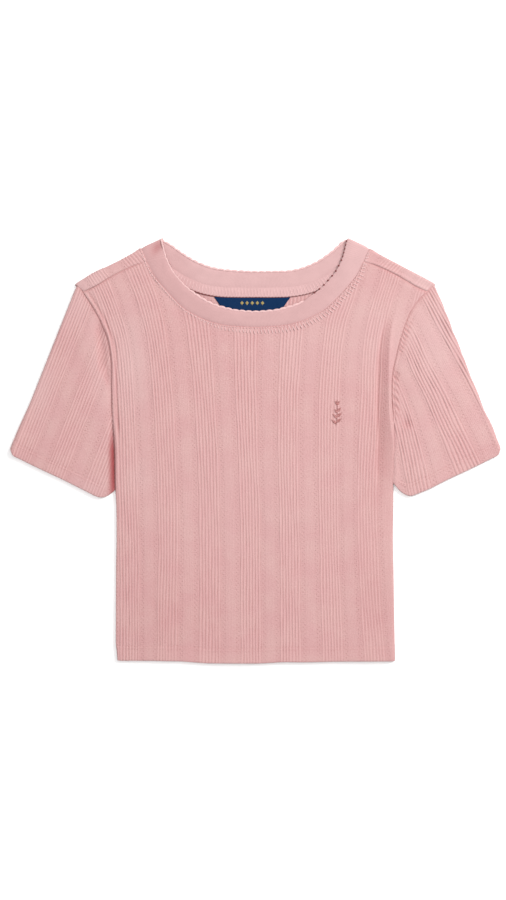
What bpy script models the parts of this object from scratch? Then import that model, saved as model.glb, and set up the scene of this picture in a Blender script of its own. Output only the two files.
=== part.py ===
"""A girl's short-sleeved T-shirt in cotton rib-and-eyelet jersey, laid flat, face up.

Frame: X runs across the shirt, Y from the hem to the neck, Z up from the surface it lies on.
The origin is the middle of its outline, on that surface. Sizes are in millimetres here and
turned into metres when each mesh is made. Each piece is a cloth wall: its outer face comes
from the piece's own outline, and its inner face lies one wall further in.
"""

import math

import bmesh
import bpy
import numpy as np

MM = 0.001

# Cloth
WALL = 1.0  # single jersey, with its ribs
HEM_WALL = 1.6  # hem, turned up once
BAND_WALL = 1.4  # neckband, two layers of rib
TRIM_WALL = 1.0
LABEL_WALL = 1.0
SEAM_GAP = 0.3  # clearance between two pieces at a seam

# Laid out flat
FOLD_HEIGHT = 4.4  # over a fold, from the surface to the top
FOLD_RADIUS = FOLD_HEIGHT / 2
CROWN = 0.7  # how far the cloth stands up inside its edges
CROWN_REACH = 14.0  # how soon it gets there
SIDE_HEIGHT = 2.4  # the front's height at the side seams
SIDE_REACH = (0.0, 70.0)  # levels between which the front's side rises to the armhole's height
HEM_HEIGHT = 3.8  # the front's height at the hem's corners

# Outline
HEM_Y = -221.0
HEM_BOW = 2.0  # the hem hangs lower at its middle
HEM_DEPTH = 17.0
HEM_STEP = 1.0  # over which a hem's wall becomes the cloth's
UNDERARM_Y = 30.0
HIGH_POINT = (97.5, 223.0)  # where the neck edge meets the shoulder fold
SHOULDER_TIP = (190.0, 174.5)  # where the shoulder fold meets the sleeve's fold
CUFF_CORNER = (259.0, 1.0)  # outer lower corner of the sleeve
SLEEVE_HEM_DEPTH = 15.0
TRIM_WIDTH = 2.0

# Half width of the body at each level: the side seam, then the armhole seam
SIDES = (
    # y, at -X, at +X
    (-225.0, 144.5, 144.5),
    (-205.0, 145.6, 145.4),
    (-120.0, 146.0, 145.8),
    (-38.0, 146.0, 145.3),
    (0.0, 146.6, 146.9),
    (24.0, 148.4, 147.6),
    (38.0, 150.4, 145.9),
    (58.0, 151.0, 144.3),
    (80.0, 151.1, 144.8),
    (97.0, 151.6, 147.5),
    (118.0, 155.3, 152.8),
    (131.0, 160.3, 157.0),
    (144.0, 166.7, 162.0),
    (155.0, 173.0, 168.6),
    (163.0, 178.2, 175.9),
    (167.0, 181.0, 181.0),
    (173.0, 188.3, 188.3),
    (230.0, 188.3, 188.3),
)

# Inner edge of each sleeve, below the underarm
UNDERARM_EDGE = (
    # y, at -X, at +X
    (-60.0, 148.6, 147.6),
    (-41.0, 148.6, 146.6),
    (-32.0, 151.0, 146.6),
    (-20.0, 153.4, 147.2),
    (0.0, 153.6, 148.2),
    (20.0, 152.0, 148.6),
    (30.0, 150.6, 148.2),
)

# The neck and shoulder lines for x >= 0, from the middle outwards
FRONT_SEAM = (
    (0.0, 129.0),
    (17.5, 129.9),
    (32.0, 131.2),
    (47.7, 135.2),
    (61.7, 141.2),
    (75.5, 149.6),
    (93.5, 168.0),
    (108.5, 187.0),
    (113.5, 197.0),
)
FRONT_EDGE = (
    (0.0, 147.3),
    (14.0, 148.2),
    (25.0, 149.8),
    (46.0, 156.4),
    (67.0, 169.7),
    (81.3, 184.5),
    (86.7, 192.6),
    (92.0, 204.0),
)
BACK_SEAM = (
    (0.0, 170.5),
    (20.0, 170.5),
    (38.0, 171.2),
    (55.0, 174.5),
    (72.0, 181.5),
    (86.0, 190.0),
    (98.0, 198.8),
)
BACK_EDGE = (
    (0.0, 189.0),
    (36.0, 189.8),
    (48.0, 192.0),
    (62.0, 197.6),
    (74.0, 205.4),
    (84.0, 213.0),
)
FORWARD_SEAM = (
    (113.5, 197.0),
    (125.0, 194.8),
    (138.0, 189.6),
    (153.0, 181.6),
    (168.0, 172.4),
    (181.0, 167.0),
)
NECK_AT_FOLD = 119.5  # x where the neckband seam crosses the shoulder fold

# Sleeve hem, from the outer corner inwards
SLEEVE_HEM = (
    (256.2, -3.4),
    (247.0, -8.6),
    (225.0, -19.4),
    (202.5, -29.9),
    (181.6, -40.4),
    (166.4, -47.6),
    (157.0, -47.6),
    (151.5, -43.8),
)

# Largest soft folds of the front, each along a straight line
CREASES = (
    # x at the top, top y, x at the bottom, bottom y, half width, height
    (137.0, 118.0, 133.0, -8.0, 6.0, -1.3),
    (-158.0, 150.0, -141.0, 52.0, 6.0, 0.6),
)

# Label: mitred strip
LABEL_MIDDLE = (-3.0, 162.0)
LABEL_TOP_WIDTH = 81.0
LABEL_BOTTOM_WIDTH = 54.0
LABEL_HEIGHT = 19.0

# How finely each piece is cut into facets
NECK_STATIONS = 17
SHOULDER_STATIONS = 9
FOLD_STEPS = 4
BODY_ROWS = 8
ARMHOLE_ROWS = 11
SLEEVE_ROWS = 7
BAND_ROWS = 2
BAND_RISE = (0.5, 1.0)  # shares of the way from the front lines' ends to the shoulder fold
STRIP_RISE = (0.5, 1.0)  # shares of the way from the shoulder fold to the forward seam
LABEL_COLUMNS = 9
LABEL_ROWS = 3
UNDERARM_CURVE = 3  # power with which the sleeve's columns take up its inner edge
CROWN_START = 0.05  # share of the sleeve's length at which its crown seems to start above the seam

PINK = (0.76, 0.44, 0.43)
PALE_PINK = (0.79, 0.50, 0.49)
NAVY = (0.02, 0.045, 0.16)


def clear_scene():
    """Start from nothing."""
    for old in list(bpy.data.objects):
        bpy.data.objects.remove(old, do_unlink=True)


def material(name, colour, roughness):
    """One plain finish."""
    finish = bpy.data.materials.new(name)
    finish.use_nodes = True
    shader = finish.node_tree.nodes["Principled BSDF"]
    shader.inputs["Base Color"].default_value = (*colour, 1.0)
    shader.inputs["Roughness"].default_value = roughness
    shader.inputs["Metallic"].default_value = 0.0
    return finish


# Curves


def read(table, column, at):
    """One column of a table, read between its rows on a smooth curve with no overshoot."""
    keys = np.array([row[0] for row in table])
    values = np.array([row[column] for row in table])
    spans = np.diff(keys)
    slopes = np.diff(values) / spans
    before, after = slopes[:-1], slopes[1:]
    same_way = before * after > 0
    mean = 2 * before * after / np.where(same_way, before + after, 1.0)
    tangents = np.concatenate(([slopes[0]], np.where(same_way, mean, 0.0), [slopes[-1]]))
    i = int(np.clip(np.searchsorted(keys, at) - 1, 0, len(spans) - 1))
    t = (at - keys[i]) / spans[i]
    start = (1 + 2 * t) * (1 - t) ** 2 * values[i] + t * (1 - t) ** 2 * tangents[i] * spans[i]
    end = t * t * (3 - 2 * t) * values[i + 1] + t * t * (t - 1) * tangents[i + 1] * spans[i]
    return float(start + end)


def curve(points, fractions):
    """Points at fractions of the length of a smooth curve through the points given."""
    ends = [2 * points[0] - points[1]], [2 * points[-1] - points[-2]]
    knots = np.concatenate((ends[0], points, ends[1]))
    fine = []
    for a, b, c, d in zip(knots, knots[1:], knots[2:], knots[3:]):
        for t in np.linspace(0, 1, 16, endpoint=False):
            cubic = 3 * (b - c) + d - a
            fine.append(b + 0.5 * t * (c - a + t * (2 * a - 5 * b + 4 * c - d + t * cubic)))
    fine = np.array(fine + [points[-1]])
    length = np.concatenate(([0], np.cumsum(np.linalg.norm(np.diff(fine, axis=0), axis=1))))
    at = np.asarray(fractions) * length[-1]
    return np.stack([np.interp(at, length, fine[:, axis]) for axis in (0, 1)], axis=1)


def across(half, stations, end=None):
    """A neck line from -X to +X: a half line and its mirror image, at even stations."""
    half = np.array(half if end is None else (*half, tuple(end)))
    whole = np.concatenate((half[:0:-1] * (-1, 1), half))
    return curve(whole, np.linspace(0, 1, stations))


def moved_in(line, distance):
    """A line moved sideways, to the left of the way it runs."""
    along = np.gradient(line, axis=0)
    along /= np.linalg.norm(along, axis=1)[:, None]
    return line + distance * np.stack((-along[:, 1], along[:, 0]), axis=1)


def half_width(y, side):
    """Half width of the body at a level, on the side of that sign."""
    return read(SIDES, 2 if side > 0 else 1, y)


def smooth_step(value, low, high):
    """0 below low, 1 above high, smooth between."""
    t = min(max((value - low) / (high - low), 0.0), 1.0)
    return t * t * (3 - 2 * t)


# Folds


class Fold:
    """A fold along a straight line on one side: cloth comes up over it from below."""

    def __init__(self, start, end, side):
        self.along = np.array([side * (end[0] - start[0]), end[1] - start[1]])
        self.along /= np.linalg.norm(self.along)
        self.out = np.array([-self.along[1], self.along[0]]) * -side
        if self.out[0] * side < 0:
            self.out = -self.out
        self.start = np.array([side * start[0], start[1]]) - FOLD_RADIUS * self.out

    def axis_at_x(self, x):
        """The point of its axis with this x."""
        return self.start + self.along * (x - self.start[0]) / self.along[0]

    def over(self, axis, turn, way=None):
        """Outer point and outward vector after a turn, from 0 below to pi on top."""
        way = self.out if way is None else way / (way @ self.out)
        outward = np.append(math.sin(turn) * way, -math.cos(turn))
        return np.append(axis, FOLD_RADIUS) + FOLD_RADIUS * outward, outward


def folds(side):
    """The shoulder's fold, the sleeve's, and the way the seam between them points."""
    shoulder = Fold(HIGH_POINT, SHOULDER_TIP, side)
    sleeve = Fold(SHOULDER_TIP, CUFF_CORNER, side)
    seam_way = shoulder.out + sleeve.out
    return shoulder, sleeve, seam_way / np.linalg.norm(seam_way)


# Solids


def make_object(name, vertices, faces, finish):
    """A closed mesh with its faces turned outwards, in metres."""
    mesh = bpy.data.meshes.new(name)
    mesh.from_pydata((np.array(vertices) * MM).tolist(), [], faces)
    solid = bmesh.new()
    solid.from_mesh(mesh)
    bmesh.ops.triangulate(solid, faces=solid.faces[:])
    bmesh.ops.recalc_face_normals(solid, faces=solid.faces[:])
    solid.to_mesh(mesh)
    solid.free()
    mesh.shade_smooth()
    mesh.set_sharp_from_angle(angle=math.radians(40))
    mesh.materials.append(finish)
    made = bpy.data.objects.new(name, mesh)
    bpy.context.collection.objects.link(made)
    return made


def cloth(name, rows, finish, closed_rows=False, closed_across=False):
    """A cloth wall from rows of (outer point, outward vector, thickness), None where it is cut away."""
    numbers = {}
    outer = []
    inner = []
    for i, row in enumerate(rows):
        for j, entry in enumerate(row):
            if entry is None:
                continue
            point, outward, thickness = entry
            numbers[i, j] = len(outer)
            outer.append(point)
            inner.append(point - outward * thickness)
    count, width = len(rows), len(rows[0])
    quads = []
    for i in range(count if closed_rows else count - 1):
        for j in range(width if closed_across else width - 1):
            ring = [(i, j), (i, (j + 1) % width), ((i + 1) % count, (j + 1) % width), ((i + 1) % count, j)]
            if all(key in numbers for key in ring):
                quads.append([numbers[key] for key in ring])
    edges = {(quad[k], quad[(k + 1) % 4]) for quad in quads for k in range(4)}
    shift = len(outer)
    faces = list(quads) + [[shift + n for n in reversed(quad)] for quad in quads]
    faces += [[b, a, shift + a, shift + b] for a, b in sorted(edges) if (b, a) not in edges]
    return make_object(name, outer + inner, faces, finish)


# Body


def crease_height(x, y):
    """What the soft folds add to the front's height."""
    height = 0.0
    for top_x, top_y, low_x, low_y, half, rise in CREASES:
        share = (y - low_y) / (top_y - low_y)
        middle = low_x + (top_x - low_x) * share
        run_out = max(1 - (2 * share - 1) ** 2, 0.0)
        height += rise * run_out * math.exp(-((x - middle) / half) ** 2)
    return height


def front_height(x, y, top_y):
    """Height of the front's outer face: low along the side seams, crowned inside."""
    side = 1 if x > 0 else -1
    at_side = SIDE_HEIGHT + (FOLD_HEIGHT - SIDE_HEIGHT) * smooth_step(y, *SIDE_REACH)
    at_side += (HEM_HEIGHT - SIDE_HEIGHT) * (1 - smooth_step(y, HEM_Y + HEM_DEPTH, HEM_Y + 2 * HEM_DEPTH))
    from_side = max(half_width(y, side) - abs(x), 0.0)
    from_top = max(top_y - y, 0.0)
    inside = 1 - math.exp(-from_side / CROWN_REACH)
    crown = CROWN * inside * (1 - math.exp(-from_top / CROWN_REACH))
    at_top = smooth_step(from_top, 0, CROWN_REACH)
    edge = FOLD_HEIGHT + (at_side - FOLD_HEIGHT) * (1 - inside) * at_top
    return edge + crown + crease_height(x, y) * inside * at_top


def body_levels(top_y, last_rise=0.0):
    """Levels of one column of the body, from the hem to its top, with a last short rise if given."""
    low = [HEM_Y, HEM_Y + HEM_DEPTH, HEM_Y + HEM_DEPTH + HEM_STEP]
    body = np.linspace(low[-1], UNDERARM_Y, BODY_ROWS + 1)[1:]
    armhole = np.linspace(UNDERARM_Y, top_y - last_rise, ARMHOLE_ROWS + 1)[1:]
    return np.concatenate((low, body, armhole, [top_y] if last_rise else []))


def body_column(top, last_rise=0.0):
    """Plan points of one column of the body, which keeps its share of the width at each level."""
    side = 1 if top[0] > 0 else -1
    share = top[0] / half_width(top[1], side)
    points = []
    for y in body_levels(top[1], last_rise):
        x = share * (half_width(y, side) - SEAM_GAP)
        bow = HEM_BOW * (1 - share * share) * (1 - smooth_step(y, HEM_Y, UNDERARM_Y))
        points.append(np.array([x, y - bow]))
    points[-1] = np.array(top)
    return points


def wall_at(level):
    """Wall thickness at a row of the body, counted from the hem, which has the first two."""
    return HEM_WALL if level < 2 else WALL


def forward_seam(side):
    """The line where the front meets the back, in front of the shoulder fold."""
    line = curve(np.array(FORWARD_SEAM), np.linspace(0, 1, SHOULDER_STATIONS))
    return line * (side, 1)


def front_panel(finish):
    """The front: hem, side seams, armholes, forward shoulder seams and the neck scoop."""
    neck = moved_in(across(FRONT_SEAM, NECK_STATIONS), -SEAM_GAP / 2)
    neck[[0, -1], 1] -= SEAM_GAP
    left = forward_seam(-1)[:0:-1] + (SEAM_GAP, -SEAM_GAP)
    right = forward_seam(1)[1:] - SEAM_GAP
    right[-1, 0] -= SEAM_GAP
    columns = []
    for top in np.concatenate((left, neck, right)):
        column = []
        for level, (x, y) in enumerate(body_column(top)):
            height = front_height(x, y, top[1])
            column.append((np.array([x, y, height]), np.array([0, 0, 1.0]), wall_at(level)))
        columns.append(column)
    return cloth("front_panel", columns, finish)


def back_shoulder_axis(side):
    """Where the back's shoulder columns reach the fold's axis, from the neck to the tip."""
    shoulder = folds(side)[0]
    start = shoulder.axis_at_x(side * (NECK_AT_FOLD - FOLD_RADIUS * abs(shoulder.out[0])))
    end = tip_axis(side)
    return [start + (end - start) * t for t in np.linspace(0, 1, SHOULDER_STATIONS)]


def tip_axis(side):
    """Where the axes of the shoulder's fold and the sleeve's fold cross."""
    shoulder, sleeve, _ = folds(side)
    ways = np.stack((shoulder.along, -sleeve.along), axis=1)
    share = np.linalg.solve(ways, sleeve.start - shoulder.start)[0]
    return shoulder.start + share * shoulder.along


def shoulder_wrap(side, station, axis):
    """Points of one back column over the shoulder fold and down to the forward seam."""
    shoulder, _, seam_way = folds(side)
    at_tip = station == SHOULDER_STATIONS - 1
    way = seam_way if at_tip else shoulder.out
    inset = -SEAM_GAP / 2 * shoulder.along * (1 if at_tip else 0)
    points = [
        (*shoulder.over(axis + inset, math.pi * step / FOLD_STEPS, way), WALL)
        for step in range(1, FOLD_STEPS + 1)
    ]
    seam = forward_seam(side)[station] + inset
    for share in STRIP_RISE:
        plan = (axis + inset) * (1 - share) + seam * share
        points.append((np.append(plan, FOLD_HEIGHT), np.array([0, 0, 1.0]), WALL))
    return points


def back_panel(finish):
    """The back: flat on the surface, and over both shoulder folds to the forward seams."""
    neck = moved_in(across(BACK_SEAM, NECK_STATIONS, back_shoulder_axis(1)[0]), -SEAM_GAP / 2)
    last_rise = tip_axis(1)[1] - FORWARD_SEAM[-1][1]
    columns = []

    def flat_part(top):
        column = []
        for level, (x, y) in enumerate(body_column(top, last_rise)):
            column.append((np.array([x, y, 0.0]), np.array([0, 0, -1.0]), wall_at(level)))
        return column

    for side in (-1, 1):
        shoulder = folds(side)[0]
        part = []
        for station, axis in enumerate(back_shoulder_axis(side)):
            top = axis - SEAM_GAP / 2 * shoulder.along * (station == SHOULDER_STATIONS - 1)
            part.append(flat_part(top) + shoulder_wrap(side, station, axis))
        if side < 0:
            columns = part[::-1]
            columns += [flat_part(top) + [None] * (FOLD_STEPS + len(STRIP_RISE)) for top in neck[1:-1]]
        else:
            columns += part
    return cloth("back_panel", columns, finish)


# Sleeves


def armhole_points(side):
    """Points along the armhole seam, on the sleeve's side, from the tip to the underarm."""
    levels = body_levels(FORWARD_SEAM[-1][1])[-ARMHOLE_ROWS - 1:][::-1]
    line = np.array([(side * half_width(y, side), y) for y in levels])
    tip = tip_axis(side)
    line = np.concatenate(([tip], line))
    return moved_in(line, side * SEAM_GAP)


def sleeve(name, side, finish):
    """A flattened tube from the armhole to the turned-up hem, folded along its outer edge."""
    _, fold, seam_way = folds(side)
    armhole = armhole_points(side)
    armhole[0] = tip_axis(side) + SEAM_GAP / 2 * fold.along
    armhole[-1, 0] = side * (read(UNDERARM_EDGE, 2 if side > 0 else 1, UNDERARM_Y) + FOLD_RADIUS + SEAM_GAP)
    reach = (armhole - armhole[0]) @ -fold.out
    shares = np.clip(reach / reach[-1], 0, 1)
    hem = curve(np.array(SLEEVE_HEM) * (side, 1), shares)
    length = np.linalg.norm(hem[0] - armhole[0])
    last = 1 - SLEEVE_HEM_DEPTH / length
    steps = np.concatenate((np.linspace(0, last, SLEEVE_ROWS), [last + HEM_STEP / length, 1]))
    rings = []
    for number, step in enumerate(steps):
        wall = HEM_WALL if number > SLEEVE_ROWS - 1 else WALL
        line = armhole * (1 - step) + hem * step
        edge_x = side * (read(UNDERARM_EDGE, 2 if side > 0 else 1, line[-1, 1]) + FOLD_RADIUS + SEAM_GAP)
        line[:, 0] += (edge_x - line[-1, 0]) * shares ** UNDERARM_CURVE
        crown = CROWN * np.sin(math.pi * shares) * math.sin(math.pi * min(step + CROWN_START, 1))
        up = np.array([0, 0, 1.0])
        ring = [(np.append(p, FOLD_HEIGHT + c), up, wall) for p, c in zip(line, crown)]
        inwards = np.array([-side, 0.0])
        for turn in np.linspace(math.pi, 0, FOLD_STEPS + 1)[1:-1]:
            outward = np.append(math.sin(turn) * inwards, -math.cos(turn))
            ring.append((np.append(line[-1], FOLD_RADIUS) + FOLD_RADIUS * outward, outward, wall))
        ring += [(np.append(p, 0.0), -up, wall) for p in line[::-1]]
        way = seam_way if number == 0 else fold.out
        for turn in np.linspace(0, math.pi, FOLD_STEPS + 1)[1:-1]:
            ring.append((*fold.over(line[0], turn, way), wall))
        rings.append(ring)
    return cloth(name, rings, finish, closed_across=True)


# Neck


def neck_ring(front, back, axis_x):
    """Outer points and outward vectors round one line of the neck, from front to back.

    front and back run from -X to +X, and axis_x is where the line crosses the folds' axes.
    """
    up = np.array([0, 0, 1.0])
    ring = [(np.append(p, FOLD_HEIGHT), up) for p in front]
    for side in (1, -1):
        shoulder = folds(side)[0]
        axis = shoulder.axis_at_x(side * axis_x)
        corner = front[-1] if side > 0 else front[0]
        rise = [(np.append(corner * (1 - t) + axis * t, FOLD_HEIGHT), up) for t in BAND_RISE]
        turns = np.linspace(math.pi, 0, FOLD_STEPS + 1)[1:]
        down = [shoulder.over(axis, turn) for turn in turns]
        if side > 0:
            ring += rise + down
            ring += [(np.append(p, 0.0), -up) for p in back[-2:0:-1]]
        else:
            ring += down[::-1] + rise[::-1]
    return ring


def neck_lines():
    """Rings of the neck at the seam and at the picot edge."""
    rings = []
    for front, back, axis_x in (
        (FRONT_SEAM, BACK_SEAM, NECK_AT_FOLD - FOLD_RADIUS * abs(folds(1)[0].out[0])),
        (FRONT_EDGE, BACK_EDGE, folds(1)[0].start[0]),
    ):
        axis = folds(1)[0].axis_at_x(axis_x)
        front_line = across(front, NECK_STATIONS)
        back_line = across(back, NECK_STATIONS, axis)
        rings.append(neck_ring(front_line, back_line, axis_x))
    return rings


def between(rings, share, wall):
    """A ring part of the way from the seam to the picot edge."""
    return [
        (a[0] * (1 - share) + b[0] * share, a[1] * (1 - share) + b[1] * share, wall)
        for a, b in zip(*rings)
    ]


def band_share(distance):
    """The share of the band's width that a distance from the seam is, at its middle."""
    return distance / (FRONT_EDGE[0][1] - FRONT_SEAM[0][1])


def neckband(finish):
    """A strip round the neck, over both shoulder folds."""
    rings = neck_lines()
    first = band_share(SEAM_GAP)
    last = 1 - band_share(TRIM_WIDTH + SEAM_GAP)
    rows = [between(rings, share, BAND_WALL) for share in np.linspace(first, last, BAND_ROWS + 1)]
    return cloth("neckband", rows, finish, closed_across=True)


def picot_trim(finish):
    """The narrow edging along the band's free edge."""
    rings = neck_lines()
    rows = [between(rings, share, TRIM_WALL) for share in (1 - band_share(TRIM_WIDTH), 1.0)]
    return cloth("picot_trim", rows, finish, closed_across=True)


def neck_label(finish):
    """A mitred strip on the back's inner face, just below the neck seam."""
    top = WALL + SEAM_GAP + LABEL_WALL
    columns = []
    for share in np.linspace(-1, 1, LABEL_COLUMNS):
        column = []
        for down in np.linspace(0, 1, LABEL_ROWS):
            half = (LABEL_TOP_WIDTH * (1 - down) + LABEL_BOTTOM_WIDTH * down) / 2
            x = LABEL_MIDDLE[0] + share * half
            y = LABEL_MIDDLE[1] - down * LABEL_HEIGHT
            column.append((np.array([x, y, top]), np.array([0, 0, 1.0]), LABEL_WALL))
        columns.append(column)
    return cloth("neck_label", columns, finish)


def main():
    clear_scene()
    jersey = material("rib_eyelet_jersey", PINK, 0.9)
    rib = material("neck_rib", PALE_PINK, 0.9)
    picot = material("picot_thread", PALE_PINK, 0.8)
    woven = material("label_weave", NAVY, 0.6)
    back_panel(jersey)
    front_panel(jersey)
    sleeve("sleeve_left", 1, jersey)
    sleeve("sleeve_right", -1, jersey)
    neckband(rib)
    picot_trim(picot)
    neck_label(woven)


main()
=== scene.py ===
"""The looks of a girl's T-shirt in rib-and-eyelet cotton jersey, laid flat, face up.

Lengths are in millimetres and turned into metres when a mesh is made. X runs across the
shirt, Y from the hem to the neck and Z up, as in the frame. Each piece of cloth is a thin
shell: an outer face with the knit's ribs, soft folds and seams in it, and an inner face one
wall further in. Its UV map counts pattern repeats across the cloth (U) and along it (V).
"""

import math

import bpy
import numpy as np
from mathutils.bvhtree import BVHTree
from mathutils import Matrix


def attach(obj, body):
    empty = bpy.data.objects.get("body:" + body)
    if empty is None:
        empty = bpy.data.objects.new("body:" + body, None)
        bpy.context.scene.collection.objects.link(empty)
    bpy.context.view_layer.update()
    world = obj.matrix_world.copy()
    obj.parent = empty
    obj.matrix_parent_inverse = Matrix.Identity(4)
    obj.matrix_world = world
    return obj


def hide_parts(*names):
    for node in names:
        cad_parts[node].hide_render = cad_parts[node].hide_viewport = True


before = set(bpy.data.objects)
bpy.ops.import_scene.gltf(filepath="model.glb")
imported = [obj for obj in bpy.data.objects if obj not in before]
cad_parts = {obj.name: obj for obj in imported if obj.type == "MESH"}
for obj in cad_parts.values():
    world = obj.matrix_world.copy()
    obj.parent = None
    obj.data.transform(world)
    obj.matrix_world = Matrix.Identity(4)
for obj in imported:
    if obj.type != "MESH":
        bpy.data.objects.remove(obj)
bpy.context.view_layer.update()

MM = 0.001
UP = np.array([0.0, 0.0, 1.0])

# Cloth
WALL = 1.0
HEM_WALL = 1.6
BAND_WALL = 1.4
LABEL_WALL = 0.6
LOWEST_INNER = 0.02  # an inner face stays above the surface that the shirt lies on
TUCK = 1.2  # how far a piece runs on under the one it is sewn to

# Laid out flat
RADIUS = 2.2  # of the outer face over a fold
TOP = 2 * RADIUS
ARC = math.pi * RADIUS / 2  # cloth from the outline to the flat, over a fold
CROWN = 0.7  # rise of the cloth away from its edges
CROWN_REACH = 14.0
SIDE_EDGE = 2.1  # height of the front's outer face at the side seams
FLARE = {1: 1.2, -1: 1.6}  # of each sleeve's outer fold towards the cuff
TOP_SLANT = 0.85  # distance to a slanting top line for each millimetre along Y
ARMHOLE_SLANT = 0.72  # the same at the armhole, down the sleeve

# Outline
HEM_Y = -221.0
UNDERARM_Y = 30.0
HIGHEST_Y = 240.0  # above every part of the outline
HIGH_POINT = (97.5, 224.1)
SHOULDER_TIP = (189.0, 176.3)
OUTER_FOLD = {1: ((188.0, 176.3), (257.4, 1.0)), -1: ((187.0, 176.3), (256.4, 1.0))}  # of each sleeve
NECK_AT_FOLD = 119.5  # x of the neck seam on the shoulder fold

# The knit: a band of ribs, then an eyelet column, plain jersey and another eyelet column
PERIOD = 43.0
RIBS = 7
RIB_PITCH = 3.2 / PERIOD
RIB_BAND = (RIBS + 0.2) * RIB_PITCH / 2  # half its width, in repeats
RIB_DEPTH = 0.62
EYELET_AT = 0.335  # of a repeat, from the middle of the ribs

SIDES = np.array((
    # y, half width at -X, half width at +X
    (-225.0, 144.6, 147.0),
    (-212.0, 145.2, 147.0),
    (-200.0, 146.4, 146.7),
    (-160.0, 146.3, 146.0),
    (-120.0, 146.1, 145.4),
    (-90.0, 145.6, 144.9),
    (-60.0, 145.8, 145.3),
    (-38.0, 147.0, 145.4),
    (0.0, 147.6, 146.9),
    (24.0, 149.0, 147.6),
    (38.0, 150.4, 145.2),
    (58.0, 151.0, 143.7),
    (80.0, 151.1, 144.2),
    (97.0, 151.6, 147.5),
    (118.0, 155.3, 152.8),
    (131.0, 160.3, 157.0),
    (144.0, 166.7, 162.0),
    (155.0, 173.0, 168.6),
    (163.0, 178.2, 175.9),
    (167.0, 181.0, 181.0),
    (173.0, 188.3, 188.3),
    (190.0, 192.6, 192.6),
))
HEM = np.array((
    # x, y of the hem's edge
    (-150.0, -219.6), (-146.0, -219.8), (-140.0, -220.3), (-110.0, -220.3), (-94.0, -220.7),
    (-78.0, -221.0), (-62.0, -222.2), (-47.0, -223.0), (0.0, -223.2), (16.0, -222.5), (32.0, -221.7),
    (48.0, -221.9), (64.0, -221.7), (80.0, -221.3), (126.0, -221.1), (143.0, -221.1), (150.0, -219.8),
))
UNDERARM_EDGE = np.array((
    # y, top layer at -X, lower layer at -X, top layer at +X, lower layer at +X
    (-60.0, 145.0, 144.8, 143.4, 144.6),
    (-41.0, 145.2, 145.0, 143.6, 144.6),
    (-32.0, 145.4, 145.0, 143.8, 144.8),
    (-20.0, 145.5, 145.2, 144.0, 145.0),
    (0.0, 145.9, 145.8, 144.2, 145.8),
    (20.0, 147.3, 147.2, 144.2, 146.2),
    (30.0, 148.6, 148.2, 144.2, 145.8),
))
# Middles of the seven rib bands of the front at each level
RIB_MIDDLES = np.array((
    # y, A, B, C, D, E, F, G
    (-222.0, -131.0, -93.0, -47.2, -4.2, 37.5, 81.8, 126.0),
    (-208.0, -131.1, -93.0, -47.2, -4.3, 37.3, 81.4, 125.0),
    (-156.0, -131.2, -92.6, -47.3, -4.7, 36.8, 79.6, 121.0),
    (-103.0, -131.6, -91.4, -47.5, -4.8, 36.4, 78.2, 118.6),
    (-51.0, -133.2, -92.0, -48.4, -5.6, 35.3, 77.2, 117.2),
    (2.0, -134.6, -94.0, -50.0, -7.6, 34.5, 76.6, 118.8),
    (54.0, -136.8, -96.8, -53.0, -9.4, 34.6, 77.6, 121.6),
    (86.0, -138.9, -99.8, -55.4, -10.4, 36.2, 79.3, 122.4),
    (117.0, -143.0, -103.6, -58.6, -10.4, 38.1, 82.2, 124.6),
    (138.0, -149.0, -107.8, -61.5, -10.6, 39.8, 86.0, 128.6),
    (159.0, -156.4, -113.4, -66.0, -11.0, 42.6, 93.0, 134.0),
    (180.0, -165.2, -121.3, -71.0, -11.5, 46.0, 99.0, 141.0),
    (197.0, -172.0, -128.0, -75.0, -12.0, 49.0, 104.0, 146.0),
    (228.0, -180.0, -136.0, -80.0, -12.0, 52.0, 110.0, 152.0),
))
FRONT_SEAM = np.array((
    # x, y of the neck seam on the front, the same at -X
    (0.0, 130.2), (17.5, 131.1), (32.0, 132.4), (47.7, 136.3), (61.7, 142.3),
    (75.5, 150.7), (93.5, 168.9), (108.5, 187.8), (114.4, 199.6),
))
FRONT_EDGE = np.array((
    # x, y of the neckband's free edge on the front
    (0.0, 147.3), (14.0, 148.2), (25.0, 149.8), (46.0, 156.4), (67.0, 169.7),
    (81.3, 184.5), (86.7, 192.6), (92.0, 204.0),
))
BACK_SEAM = np.array((
    (0.0, 171.0), (20.0, 171.0), (38.0, 171.7), (55.0, 175.0), (72.0, 182.0),
    (86.0, 190.5), (98.0, 199.4),
))
BACK_EDGE = np.array((
    # x, y of the neckband's free edge on the back, at +X
    (0.0, 189.6), (24.0, 189.8), (38.0, 190.6), (50.0, 193.5), (65.0, 200.0), (80.0, 210.2),
    (87.0, 216.6), (92.4, 221.2),
))
BACK_EDGE_LEFT = np.array((
    # the same at -X, mirrored
    (0.0, 189.6), (24.0, 190.8), (38.0, 192.4), (50.0, 195.3), (65.0, 201.8), (80.0, 211.4),
    (87.0, 216.6),
))
FORWARD_SEAM = np.array((
    # x, y of the shoulder seam, in front of the fold
    (114.4, 199.0), (125.0, 195.5), (138.0, 190.0), (153.0, 182.2), (168.0, 173.2), (181.0, 167.0),
))
# Cuffs from the outer fold inwards, and on to the underarm corner on each side
CUFF = ((256.6, -3.4), (247.0, -8.6), (225.0, -19.4), (202.5, -29.9), (181.6, -40.4))
SLEEVE_HEM = {
    1: np.array((*CUFF, (166.4, -46.6), (157.0, -45.4), (151.5, -41.2), (147.0, -36.0))),
    -1: np.array((*CUFF, (166.4, -47.9), (157.0, -48.0), (151.5, -44.6), (147.0, -41.0))),
}
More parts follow.
